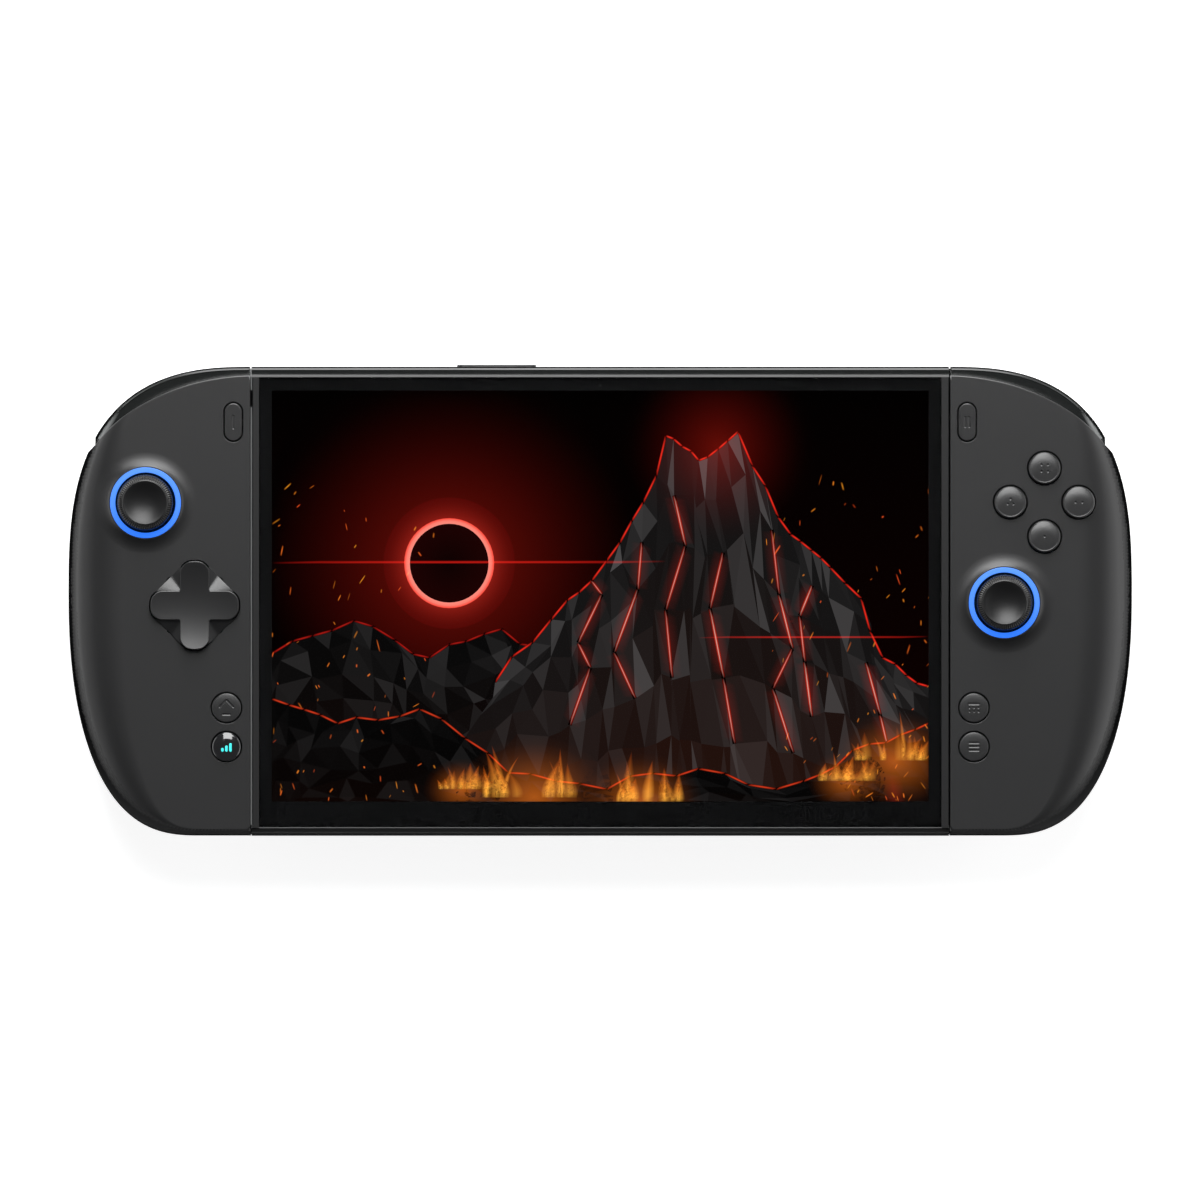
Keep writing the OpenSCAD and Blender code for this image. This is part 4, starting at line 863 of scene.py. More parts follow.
def direction_pad():
    """Dished cross on a base whose webs fall in two facets to a crease between the arms."""
    rise, dish, edge, corner = 1.7, 70.0, 0.28, 0.5
    inner = arc(PAD_HALF + corner, PAD_HALF + corner, corner, 270, 180, 5)
    cross = quarter_turns(arm_end(10) + inner)

    def height(p):
        z = FACE + rise + dish - np.sqrt(dish * dish - (p ** 2).sum(1))
        return z - rounding(polygon_distance(p, cross) * inside(p, cross), edge)

    grid = grid_points((-12.4, 12.5), (-12.4, 12.5), 0.5)
    spots = grid[inside(grid, cross) & (polygon_distance(grid, cross) > edge + 0.2)]
    form = button(cross, [offset(cross, d) for d in edge_steps(edge, 6)[1:]], spots, height, FACE - 1.2)
    add_webs(form)
    return form.mirror().moved(-PAD[0], PAD[1])


WEB_LEAN, WEB_LEVEL, WEB_STEEPEST = 0.42, 0.1, 0.46
WEB_TURN, WEB_TURN_W = 0.28, 0.2


def web_normal(share):
    """Way a web faces along its outer edge, from the upright arm to the level one: level beside both."""
    steep = 1 - np.abs(share - WEB_STEEPEST) / (1 - WEB_STEEPEST)
    lean = WEB_LEAN * (WEB_LEVEL + (1 - WEB_LEVEL) * steep)
    turn = smooth_step((share - WEB_TURN) / WEB_TURN_W)
    return np.stack([lean * (1 - turn), lean * turn, np.ones_like(share)], 1)


def add_webs(form):
    """Webs between the arms, each falling from its root to a straight edge with a crease, and the rim below."""
    apex, side_z, crease_z, low, n = FACE + 1.5, FACE + 1.15, FACE + 0.05, FACE - 1.4, 13
    share = np.linspace(0, 1, n)
    x = PAD_SIDE + (PAD_TIP - PAD_SIDE) * share
    line = np.stack([x, x[::-1]], 1)
    edge = at_height(line, crease_z + (side_z - crease_z) * np.abs(2 * share - 1))
    rim = np.concatenate([edge, at_height(line, low)])
    root = np.array([PAD_HALF * 0.6, PAD_HALF * 0.6, apex])
    lean = web_normal(share)
    for flip in ((1, 1, 1), (-1, 1, 1), (-1, -1, 1), (1, -1, 1)):
        for j in range(n - 1):
            own = np.array([lean[j] + lean[j + 1], lean[j], lean[j + 1]])
            form.add(np.array([root, edge[j], edge[j + 1]]) * flip, [(0, 1, 2)], own * flip)
        form.add(rim * flip, grid_faces(2, n), [np.array([1.0, 1.0, 0.0]) * flip] * (2 * n))


# Materials


def new_material(name):
    material = bpy.data.materials.new(name)
    material.use_nodes = True
    nodes = material.node_tree.nodes
    return material, nodes, material.node_tree.links, nodes["Principled BSDF"]


def set_inputs(node, **values):
    """Constant values of a node's inputs, whose names have _ for a space."""
    for key, value in values.items():
        node.inputs[key.replace("_", " ")].default_value = value


def add_node(nodes, kind, **values):
    """New node with values for its own settings and its inputs."""
    made = nodes.new(kind)
    for key, value in values.items():
        if hasattr(made, key):
            setattr(made, key, value)
        else:
            set_inputs(made, **{key: value})
    return made


def calculated(nodes, links, operation, a, b):
    """Sum or product of two outputs, or of an output and a number, from 0 to 1."""
    made = add_node(nodes, "ShaderNodeMath", operation=operation, use_clamp=True)
    links.new(a, made.inputs[0])
    if isinstance(b, float):
        made.inputs[1].default_value = b
    else:
        links.new(b, made.inputs[1])
    return made.outputs[0]


def ranged(nodes, links, value, **limits):
    """Output brought from one range to another."""
    made = add_node(nodes, "ShaderNodeMapRange", **limits)
    links.new(value, made.inputs["Value"])
    return made.outputs["Result"]


def mixed(nodes, links, factor, a, b):
    """Mix of two colours, of which the first can be an output."""
    made = add_node(nodes, "ShaderNodeMix", data_type="RGBA")
    links.new(factor, made.inputs["Factor"])
    made.inputs["B"].default_value = b
    if isinstance(a, tuple):
        made.inputs["A"].default_value = a
    else:
        links.new(a, made.inputs["A"])
    return made.outputs["Result"]


def along_axis(nodes, links, kind, axis):
    """One axis of the piece's coordinates of a kind."""
    place, split = nodes.new("ShaderNodeTexCoord"), nodes.new("ShaderNodeSeparateXYZ")
    links.new(place.outputs[kind], split.inputs["Vector"])
    return split.outputs[axis]


def surface_noise(nodes, links, scale, detail=3.0, rough=0.55, stretch=(1, 1, 1)):
    """Noise in the piece's own coordinates, in metres."""
    place = nodes.new("ShaderNodeTexCoord")
    mapping = add_node(nodes, "ShaderNodeMapping", Scale=stretch)
    noise = add_node(nodes, "ShaderNodeTexNoise", Scale=scale, Detail=detail, Roughness=rough)
    links.new(place.outputs["Object"], mapping.inputs["Vector"])
    links.new(mapping.outputs["Vector"], noise.inputs["Vector"])
    return noise.outputs["Fac"]


def add_bump(nodes, links, shader, height, strength, depth):
    bump = add_node(nodes, "ShaderNodeBump", Strength=strength, Distance=depth * MM)
    links.new(height, bump.inputs["Height"])
    links.new(bump.outputs["Normal"], shader.inputs["Normal"])


def plastic(name, color, rough, specular, grain=2600.0, depth=0.02, vary=0.1, stretch=(1, 1, 1), **sockets):
    """Moulded surface: fine grain as bump, a slow drift of tone and an uneven gloss."""
    material, nodes, links, shader = new_material(name)
    fine = surface_noise(nodes, links, grain, 2.0, 0.5, stretch)
    add_bump(nodes, links, shader, fine, 0.35, depth)
    slow = surface_noise(nodes, links, 38.0, 4.0, 0.6)
    tones = [(*[c * share for c in color], 1) for share in (1 - vary, 1 + vary)]
    links.new(mixed(nodes, links, slow, *tones), shader.inputs["Base Color"])
    gloss = ranged(nodes, links, fine, From_Min=0.3, From_Max=0.7, To_Min=rough - 0.03, To_Max=rough + 0.03)
    links.new(gloss, shader.inputs["Roughness"])
    set_inputs(shader, Specular_IOR_Level=specular, **sockets)
    return material


def metal(name, color, rough, stretch=(1, 30, 30)):
    return plastic(name, color, rough, 0.5, 900.0, 0.01, 0.06, stretch, Metallic=1.0)


def board_material():
    """Solder mask with a fine pattern of tracks and pads."""
    material, nodes, links, shader = new_material("board_green")
    place = nodes.new("ShaderNodeTexCoord")
    brick = add_node(nodes, "ShaderNodeTexBrick", Scale=180.0, Mortar_Size=0.02, Bias=-0.2)
    set_inputs(brick, Color1=(0.008, 0.05, 0.03, 1), Color2=(0.012, 0.07, 0.04, 1),
               Mortar=(0.03, 0.14, 0.07, 1))
    links.new(place.outputs["Object"], brick.inputs["Vector"])
    links.new(brick.outputs["Color"], shader.inputs["Base Color"])
    add_bump(nodes, links, shader, brick.outputs["Fac"], 0.3, 0.05)
    set_inputs(shader, Roughness=0.38)
    return material


def glass_material():
    """Clear cover glass with a coating that takes most of its reflection away."""
    material, nodes, links, shader = new_material("cover_glass_clear")
    film = surface_noise(nodes, links, 60.0, 3.0, 0.5)
    links.new(ranged(nodes, links, film, To_Min=0.015, To_Max=0.05), shader.inputs["Roughness"])
    set_inputs(shader, Base_Color=(0.97, 0.98, 1.0, 1), Transmission_Weight=1.0, IOR=1.1,
               Specular_IOR_Level=0.5)
    return material


def ring_light_material():
    """Blue diffuser, a little paler towards its upper side."""
    material, nodes, links, shader = new_material("ring_blue")
    up = along_axis(nodes, links, "Generated", "Y")
    blue = mixed(nodes, links, up, (0.024, 0.19, 1.0, 1), (0.085, 0.29, 1.0, 1))
    links.new(blue, shader.inputs["Emission Color"])
    set_inputs(shader, Emission_Strength=1.0, Base_Color=(0.02, 0.06, 0.2, 1), Roughness=0.4)
    return material


def vertex_light(name, strength, additive):
    """Light whose colour comes from the mesh, either solid or added to what lies behind."""
    material, nodes, links, _ = new_material(name)
    nodes.clear()
    out = nodes.new("ShaderNodeOutputMaterial")
    color = add_node(nodes, "ShaderNodeVertexColor", layer_name="glow")
    shine = add_node(nodes, "ShaderNodeEmission", Strength=strength)
    links.new(color.outputs["Color"], shine.inputs["Color"])
    light = shine.outputs["Emission"]
    if additive:
        clear, both = nodes.new("ShaderNodeBsdfTransparent"), nodes.new("ShaderNodeAddShader")
        links.new(clear.outputs["BSDF"], both.inputs[0])
        links.new(light, both.inputs[1])
        light = both.outputs["Shader"]
    links.new(light, out.inputs["Surface"])
    return material


def lift(material, color, factor):
    """Mixes a paler tone into a finish by a factor: painted light."""
    nodes, links = material.node_tree.nodes, material.node_tree.links
    base = nodes["Principled BSDF"].inputs["Base Color"]
    links.new(mixed(nodes, links, factor, base.links[0].from_socket, color), base)


def paint_light_low_side(material, color):
    """Painted light: a paler tone where a steep surface faces down the page, but not on its outermost line."""
    tools = material.node_tree.nodes, material.node_tree.links
    down = ranged(*tools, along_axis(*tools, "Normal", "Y"), From_Min=-0.2, From_Max=-0.8)
    up = ranged(*tools, along_axis(*tools, "Normal", "Z"), From_Min=0.05, From_Max=0.22)
    lift(material, color, calculated(*tools, "MULTIPLY", down, up))


def paint_light_ends(material, color):
    """Painted light: a paler tone where a surface leans outwards along X, as on the ends of the shoulder bars."""
    tools = material.node_tree.nodes, material.node_tree.links
    either = add_node(tools[0], "ShaderNodeMath", operation="ABSOLUTE")
    tools[1].new(along_axis(*tools, "Normal", "X"), either.inputs[0])
    lift(material, color, ranged(*tools, either.outputs[0], From_Min=0.15, From_Max=0.55))


def rim_shade_finishes(name, color, rough, specular):
    """Finishes that lose their gloss and then their tone towards the steep rim, as painted shade, each with painted
    light on the side that faces down the page.
    """
    made = []
    for i in range(RIM_STEPS):
        shine, tone = max(0.0, 1 - (i + 1) / 5) ** 1.4, 1 - 0.11 * (i + 1)
        made.append(plastic(f"{name}_{i}", [c * tone for c in color], rough, specular * shine))
        paint_light_low_side(made[-1], LOW_SIDE_LIGHT)
    return made


SHELL_COLOR, SHELL_GLOSS = (0.0125, 0.0125, 0.0129), 0.65
GLOSS_COLOR = (0.009, 0.0102, 0.0099)
# Paler tone for the rim finishes where they face down the page: painted light.
LOW_SIDE_LIGHT = (0.055, 0.055, 0.056, 1)
SHELL = plastic("shell_matte", SHELL_COLOR, 0.36, SHELL_GLOSS)
# Shell rim finishes: painted shade that darkens towards the steep outline.
RIM = rim_shade_finishes("shell_rim_shade", SHELL_COLOR, 0.38, SHELL_GLOSS)
REAR = plastic("rear_matte", (0.012, 0.012, 0.0125), 0.5, 0.25, 1700.0, 0.05)
BUTTON = plastic("button_satin", (0.0135, 0.0135, 0.0139), 0.33, 0.65)
GLOSS = plastic("bumper_gloss", GLOSS_COLOR, 0.2, 0.5, 1400.0, 0.004)
# Shoulder bar tops, paler where they lean outwards along X: painted light on the bars' ends.
BUMPER_TOP_LIT = plastic("bumper_top", GLOSS_COLOR, 0.2, 0.5, 1400.0, 0.004)
paint_light_ends(BUMPER_TOP_LIT, (0.15, 0.155, 0.155, 1))
# Shoulder bar rim finishes: painted shade towards their steep outline.
BUMPER_RIM = rim_shade_finishes("bumper_rim_shade", GLOSS_COLOR, 0.25, 0.5)
PIANO = plastic("button_gloss", (0.012, 0.012, 0.013), 0.1, 1.0, 900.0, 0.002)
# Lower frame rail, painted paler: painted light in the shadow of the bezel's wall.
LOW_RAIL_LIT = plastic("frame_low_painted_light", (0.09, 0.092, 0.091), 0.5, 0.1)
CYAN = plastic("mark_cyan", (0.03, 0.5, 0.48), 0.35, 0.4,
               Emission_Color=(0.06, 0.7, 0.68, 1), Emission_Strength=0.8)
SENSOR = plastic("sensor_dark", (0.006, 0.0062, 0.0065), 0.45, 0.1)
DARK = plastic("dark_satin", (0.013, 0.013, 0.014), 0.4, 0.4)
RUBBER = plastic("stick_rubber", (0.005, 0.005, 0.0053), 0.35, 0.5, 3200.0, 0.02)
SILICONE = plastic("keypad_silicone", (0.2, 0.2, 0.21), 0.55, 0.35)
CELL_WRAP = plastic("cell_wrap", (0.03, 0.032, 0.036), 0.3, 0.5, 400.0, 0.05)
COPPER = metal("copper_bare", (0.72, 0.42, 0.25), 0.3)
ALUMINIUM = metal("aluminium_satin", (0.6, 0.6, 0.62), 0.32)
STEEL = metal("steel_black", (0.2, 0.2, 0.205), 0.35)
# Black metal for the stick wells: painted shade, put where the wells lie in shade.
WELL_SHADE_METAL = metal("metal_painted_shade", (0.03, 0.03, 0.032), 0.45)
BOARD = board_material()
GLASS = glass_material()
RING = ring_light_material()
PANEL_BLACK = plastic("panel_black", (0.002, 0.002, 0.002), 0.5, 0.1)
# Near-black printed border under the glass; the bezel's inner walls and shelves use it as painted shade.
MASK_AND_SHADE = plastic("glass_mask", (0.0028, 0.0029, 0.003), 0.6, 0.05)
# Pale strip in the gap at the top left: painted light.
GAP_LIGHT = plastic("painted_gap_strip", (0.3, 0.305, 0.305), 0.5, 0.3)
# Pale line along the left seam and the thin line on the right: painted highlight.
SEAM_HIGHLIGHT = plastic("seam_highlight", (0.1, 0.103, 0.103), 0.4, 0.4)
BEZEL = plastic("bezel_matte", (0.01, 0.01, 0.0103), 0.36, 0.52)
SHADE = plastic("seam_shade", (0.0012, 0.0012, 0.0013), 0.8, 0.0)

NODE_MATERIALS = {
    "rear_shell": REAR, "frame": GLOSS, "shell": SHELL, "glass": GLASS, "panel": PANEL_BLACK, "board": BOARD,
    "copper": COPPER, "dark_plastic": DARK, "battery": CELL_WRAP, "metal": ALUMINIUM, "steel": STEEL,
    "rubber": RUBBER, "silicone": SILICONE, "button": BUTTON, "gloss_button": PIANO, "light": RING,
}
SOFTENED = {"rear_cover": 0.25, "left_trigger": 0.6, "right_trigger": 0.6, "volume_rocker": 0.25}


def dress_nodes():
    """Every solid gets its slot's finish, the metal in the stick wells a black one as painted shade; some get
    softened edges.
    """
    slots = {part["node"]: part["material_slot"] for part in frame["record"]["subparts"]}
    for name, node in NODES.items():
        in_shaded_well = "_stick_" in name and slots[name] == "metal"
        node.data.materials.clear()
        node.data.materials.append(WELL_SHADE_METAL if in_shaded_well else NODE_MATERIALS[slots[name]])
        smooth_by_angle(node.data, 30)
    for name, width in SOFTENED.items():
        soften(NODES[name], width)


def soften(piece, width):
    """Joins a solid's facets and rounds its edges."""
    weld = piece.modifiers.new("weld", "WELD")
    weld.merge_threshold = 0.002 * MM
    bevel = piece.modifiers.new("bevel", "BEVEL")
    bevel.width, bevel.segments, bevel.limit_method = width * MM, 3, "ANGLE"
    bevel.angle_limit = math.radians(28)
    bevel.harden_normals = True


# Picture on the screen: a night canyon with a far peak, embers and a low red sun

PICTURE_MID = np.array([0.0, (PANEL_LOW[1] + PANEL_HIGH[1]) / 2 + 1.5])
PICTURE_HALF = (PANEL_HIGH - PANEL_LOW)[:2] / 2 - [1.5, 2.5]
PICTURE_Z, LEVEL_STEP = GLASS_UNDER + 0.02, 0.0004
BLACK = (0.0, 0.0, 0.0)


class Picture:
    """Flat coloured faces in picture coordinates, from -1 to 1 each way, in front of each other by level."""

    def __init__(self):
        self.points, self.colors, self.faces = [], [], []

    def add(self, points, colors, faces, level):
        base = len(self.points)
        for p in points:
            x, y = PICTURE_MID + np.clip(p, -1, 1) * PICTURE_HALF
            self.points.append((x, y, PICTURE_Z + level * LEVEL_STEP))
        self.colors += [(*c, 1.0) for c in colors]
        self.faces += [tuple(base + i for i in f) for f in faces]

    def fan(self, centre, radii, inner, outer, level, n=48, power=1.0, rings=6):
        """Soft spot that fades from the inner colour to the outer one."""
        points, colors = [centre], [inner]
        for j in range(1, rings + 1):
            share = j / rings
            fade = (1 - share) ** power
            points += list(centre + circle((0, 0), share, n) * radii)
            colors += [[o + (c - o) * fade for c, o in zip(inner, outer)]] * n
        faces = [(0, 1 + i, 1 + (i + 1) % n) for i in range(n)]
        faces += [[1 + i for i in face] for face in grid_faces(rings, n, True)]
        self.add(points, colors, faces, level)

    def ribbon(self, rows, level):
        """Strip from rows of a middle, half a width and a colour, bright along its middle and clear at its sides."""
        points = [mid + side * s for mid, side, _ in rows for s in (-1, 0, 1)]
        colors = [[c * (1 - abs(s)) for c in color] for _, _, color in rows for s in (-1, 0, 1)]
        self.add(points, colors, [(a, d, c, b) for a, b, c, d in grid_faces(len(rows), 3)], level)

    def streak(self, start, end, width, color, level):
        """Line that is bright in the middle and fades to both sides and both ends."""
        start, end = np.array(start, float), np.array(end, float)
        way = unit((end - start) * PICTURE_HALF)
        side = np.array([-way[1], way[0]]) / PICTURE_HALF * width / 2
        rows = [(start + (end - start) * t, side, [c * math.sin(math.pi * t) ** 0.7 for c in color])
                for t in np.linspace(0, 1, 9)]
        self.ribbon(rows, level)

    def tongue(self, foot, width, height, lean, bright, level):
        """Flame that narrows upwards, bright along its middle and clear at its edges and tip."""
        rows = []
        for t in np.linspace(0, 1, 9):
            half = width / 2 * (1 - t) ** 0.8 * (0.7 + 1.6 * t * (1 - t))
            heat = bright * (1 - t) ** 0.7 * min(1.0, 0.3 + 4 * t)
            color = [c * heat for c in (1.0, 0.1 + 0.4 * (1 - t), 0.06 * (1 - t))]
            rows.append((np.array(foot) + [lean * t * t, height * t], np.array([half, 0.0]), color))
        self.ribbon(rows, level)

    def piece(self, name, material):
        mesh = new_mesh(name, self.points, self.faces, [material], smooth=False)
        layer = mesh.color_attributes.new("glow", "FLOAT_COLOR", "POINT")
        layer.data.foreach_set("color", [v for c in self.colors for v in c])
        add_piece(name, mesh, "tablet")


def ridge_line(rng, points, rough):
    """Jagged line through a few points by two rounds of midpoint steps."""
    line = [np.array(p, float) for p in points]
    for _ in range(2):
        finer = [line[0]]
        for a, b in zip(line, line[1:]):
            gap = np.linalg.norm(b - a)
            finer += [(a + b) / 2 + np.array([rng.uniform(-0.2, 0.2), rng.uniform(-1, 1)]) * gap * rough, b]
        line = finer
    return line


def peak_grid(rng, ridge, foot, rows):
    """Rows of points from a ridge line down to its foot, jittered between."""
    centre = ridge[len(ridge) // 2][0]
    grid = []
    for j in range(rows):
        row = []
        for p in ridge:
            low = np.array([p[0] + (p[0] - centre) * 0.25, foot])
            q = p + (low - p) * (j / (rows - 1)) ** 1.15
            if 0 < j < rows - 1:
                q = q + np.array([rng.uniform(-1, 1) * 0.025, rng.uniform(-1, 1) * 0.03])
            row.append(q)
        grid.append(row)
    return grid


def faceted_peak(picture, rng, ridge, foot, base, level, rim):
    """Dark mountain of flat facets under a ridge line, with a red rim of light along the ridge."""
    rows, light = 7, np.array([0.75, 0.66])
    grid = peak_grid(rng, ridge, foot, rows)
    for j in range(rows - 1):
        for i in range(len(ridge) - 1):
            a, b, c, d = grid[j][i], grid[j][i + 1], grid[j + 1][i + 1], grid[j + 1][i]
            for tri in ((a, b, c), (a, c, d)):
                tilt = np.array([rng.uniform(-1, 1), rng.uniform(-1, 1)])
                shade = max(0.0, 0.35 + 0.65 * float(tilt @ light)) ** 2
                grey = base * (0.25 + 1.5 * shade) * (1 - 0.65 * j / rows)
                warm = 0.35 * (j / rows) ** 2 * base
                color = (grey + 2.2 * warm, grey * 0.95 + 0.35 * warm, grey * 0.95)
                picture.add(tri, [color] * 3, [(0, 1, 2)], level + 0.01 * j)
    for p, q in zip(ridge, ridge[1:]):
        picture.streak(p, q, 0.7, rim, level + 1)
    return grid


def lava_cracks(scene, glow, rng, grid):
    """Glowing cracks that run down the facets of the peak."""
    rows, count = len(grid), len(grid[0])
    for i in range(6, count - 6, 4):
        for j in range(rng.randint(0, 2), rng.randint(4, rows - 1)):
            k = min(max(i + rng.choice((-1, 0, 0, 1)), 0), count - 1)
            heat = rng.uniform(0.4, 1.0)
            ends = grid[j][i], grid[j + 1][k]
            scene.streak(*ends, 1.1, (heat, 0.05 * heat, 0.025 * heat), 20)
            scene.streak(*ends, 0.4, (1.0, 0.5 * heat, 0.4 * heat), 21)
            glow.streak(*ends, 6.0, (0.09 * heat, 0.003, 0.002), 38)
            i = k


def sky(scene):
    """Night sky with a red haze and a bright ring round a dark sun."""
    sun = (-0.46, 0.16)
    colors = [(0.004, 0.0004, 0.0003)] * 2 + [(0.0004, 0.0002, 0.0002)] * 2
    scene.add([(-1, -1), (1, -1), (1, 1), (-1, 1)], colors, [(0, 1, 2, 3)], 0)
    scene.fan(sun, (0.62, 0.95), (0.16, 0.006, 0.003), (0.0006, 0.0002, 0.0002), 1, power=2.2, rings=12)
    scene.fan(sun, (0.2, 0.32), (1.0, 0.05, 0.03), (0.09, 0.003, 0.002), 2, power=1.6, rings=16)
    scene.fan(sun, (0.137, 0.219), (1.0, 0.5, 0.4), (1.0, 0.06, 0.035), 2.5, power=0.35, rings=16)
    scene.fan(sun, (0.12, 0.192), (0.004, 0.0006, 0.0006), (0.012, 0.001, 0.001), 3)


def mountains(scene, glow, rng):
    """Far hills, the main peak with its cracks, and near rocks."""
    far = ridge_line(rng, [(-1, -0.28), (-0.75, -0.12), (-0.52, -0.3), (-0.3, -0.16), (-0.05, -0.34)], 0.2)
    faceted_peak(scene, rng, far, -0.95, 0.011, 4, (0.45, 0.012, 0.008))
    main = ridge_line(rng, [(-0.32, -0.42), (-0.1, -0.02), (0.06, 0.26), (0.2, 0.78), (0.3, 0.66), (0.42, 0.8),
                            (0.58, 0.3), (0.7, 0.14), (0.86, -0.3), (1.0, -0.44)], 0.16)
    grid = faceted_peak(scene, rng, main, -1.05, 0.03, 8, (1.0, 0.03, 0.016))
    lava_cracks(scene, glow, rng, grid)
    near = ridge_line(rng, [(-1, -0.5), (-0.8, -0.62), (-0.55, -0.55), (-0.28, -0.86), (0.02, -0.94),
                            (0.3, -0.84), (0.62, -0.9), (0.82, -0.72), (1.0, -0.62)], 0.18)
    faceted_peak(scene, rng, near, -1.1, 0.007, 30, (0.75, 0.05, 0.015))


def flames(glow, rng):
    """Groups of flames along the foot of the picture, each with a glow."""
    groups = ((-0.2, -0.98, 0.2), (0.12, -1.0, 0.16), (-0.42, -0.94, 0.1), (0.9, -0.8, 0.16), (0.75, -0.9, 0.1))
    for x, y, r in groups:
        glow.fan((x, y), (r * 1.2, r * 1.5), (0.4, 0.09, 0.008), BLACK, 40, power=2.0, rings=8)
        for _ in range(16):
            px = x + rng.uniform(-1, 1) * r * 0.8
            tall = r * rng.uniform(0.6, 1.9) * (1 - 0.6 * abs(px - x) / r)
            wide, lean = rng.uniform(0.02, 0.06), rng.uniform(-0.5, 0.7) * r * 0.4
            glow.tongue((px, y), wide, tall, lean, rng.uniform(0.3, 0.9), 41)


def embers(glow, rng):
    """Short bright streaks, most of them low and near the sides."""
    for _ in range(150):
        x = rng.choice((-1, 1)) * (1 - rng.random() ** 1.4 * 0.5)
        y = -1 + 1.55 * rng.random() ** 1.6
        size = rng.uniform(0.006, 0.018) + 0.025 * rng.random() ** 4
        a = rng.uniform(0.5, 2.2)
        color = (1.0, rng.uniform(0.1, 0.35), 0.02)
        bright = rng.uniform(0.25, 1.0)
        end = (x + size * math.cos(a), y + size * 1.6 * math.sin(a))
        glow.streak((x, y), end, rng.uniform(0.25, 0.6), [c * bright for c in color], 44)


def screen_picture():
    """Picture with its own light, and over it what only adds light."""
    rng = random.Random(11)
    scene, glow = Picture(), Picture()
    sky(scene)
    mountains(scene, glow, rng)
    flames(glow, rng)
    glow.fan((0.36, 0.72), (0.3, 0.5), (0.12, 0.004, 0.002), BLACK, 42, power=2.4, rings=10)
    glow.streak((-1, 0.165), (0.2, 0.165), 0.9, (0.55, 0.01, 0.006), 43)
    glow.streak((0.3, -0.2), (1.0, -0.2), 0.7, (0.5, 0.012, 0.008), 43)
    embers(glow, rng)
    scene.piece("screen_picture", vertex_light("screen_light", 1.0, False))
    glow.piece("screen_glow", vertex_light("screen_flare", 1.0, True))


# Face of the tablet

GLASS_SHIFT = -0.2
SEAM_END = HALF_H - 3.2
FOOT_RIM = 2.1 - HALF_H


def rounded_rect(half, r, n=6):
    """Rectangle about the origin with rounded corners."""
    x, y = half - r
    corners = ((x, -y, -90), (x, y, 0), (-x, y, 90), (-x, -y, 180))
    return np.array([p for cx, cy, start in corners for p in arc(cx, cy, r, start, start + 90, n)])


def cover_glass():
    """Flat glass plate with a fine rounded edge."""
    edge, corner = 0.2, 0.5
    steps = edge_steps(edge, 5)[:-1]
    loops = [rounded_rect(GLASS_HIGH[:2] - d, corner) for d in steps]
    heights = [FACE - rounding(d, edge) for d in steps]
    out, n = unit(loops[0] - offset(loops[0], 1.0)), len(loops[0])
    lean = [math.acos(min(1.0, 1 - d / edge)) for d in steps]
    form = Form()
    wall(form, loops[0], heights[0], GLASS_UNDER, -1)
    points = np.concatenate([at_height(loop, z) for loop, z in zip(loops, heights)])
    normals = np.concatenate([at_height(out * math.cos(t), math.sin(t)) for t in lean])
    form.add(points, grid_faces(len(steps), n, True), normals)
    form.add(at_height(loops[-1], FACE), [range(n)], [(0, 0, 1)] * n)
    form.add(at_height(loops[0], GLASS_UNDER), [range(n)[::-1]], [(0, 0, -1)] * n)
    make("glass_plate", form.moved(0, GLASS_SHIFT), "tablet", [GLASS], ["cover_glass"])


def glass_mask():
    """Black border printed under the glass, a frame round the picture."""
    corners = np.array([(-1, -1), (1, -1), (1, 1), (-1, 1)])
    outer = corners * (GLASS_HIGH[:2] - 0.15) + [0, GLASS_SHIFT]
    points = at_height(np.concatenate([outer, PICTURE_MID + corners * PICTURE_HALF]), GLASS_UNDER + 0.03)
    make("glass_border", Form().add(points, grid_faces(2, 4, True), [(0, 0, 1)] * 8), "tablet", [MASK_AND_SHADE])


def light_sensor():
    """Small domed lens under the top of the glass."""
    r, dome, edge, y = 0.55, 3.0, 0.1, 62.2
    top, inner = GLASS_UNDER + 0.06, r - edge
    dome_z = lambda x: top - dome + math.sqrt(dome * dome - x * x)
    crown = [(max(x, 1e-4), dome_z(x)) for x in np.linspace(0, inner, 14)]
    profile = crown + arc(inner, dome_z(inner) - edge, edge, 90, 0, 7)[1:] + [(r, GLASS_UNDER)]
    make("light_sensor", lathe(profile, 40).moved(0, y), "tablet", [SENSOR])


def seam_strip(name, x, w, low, high, material):
    """Thin half-round line along the side of the tablet's face."""
    base, flat = mm_box("front_bezel")[1][2] - 0.02, 0.3
    profile = arc(0, 0, w / 2, 0, 180, 9)
    stations = np.linspace(low, high, 24)
    points = [(x + a, y, base + flat * b) for y in stations for a, b in profile]
    normals = [(flat * a, 0, max(b, 1e-3)) for _ in stations for a, b in profile]
    form = Form().add(points, grid_faces(len(stations), len(profile)), normals)
    make(name, form, "tablet", [material])


def seam_lines():
    """Pale line on the tablet's left side as a painted highlight, broken by painted shade at the latch, dark lines
    in both seams as painted shade, and a thin pale one on the right as a painted glint.
    """
    side, w = TABLET_HALF, 0.46
    spans = [(-SEAM_END, 55.9, SEAM_HIGHLIGHT), (56.1, 60.7, SHADE), (60.9, SEAM_END, SEAM_HIGHLIGHT)]
    for number, (low, high, material) in enumerate(spans):
        seam_strip(f"seam_line_{number}", -side, w, low, high, material)
    seam_strip("seam_shade_left", -side + 0.38, 0.28, -SEAM_END, SEAM_END, SHADE)
    seam_strip("seam_shade_right", side - 0.1, 0.2, -SEAM_END, SEAM_END, SHADE)
    seam_strip("seam_glint_right", side - 0.28, 0.12, -SEAM_END, SEAM_END, SEAM_HIGHLIGHT)


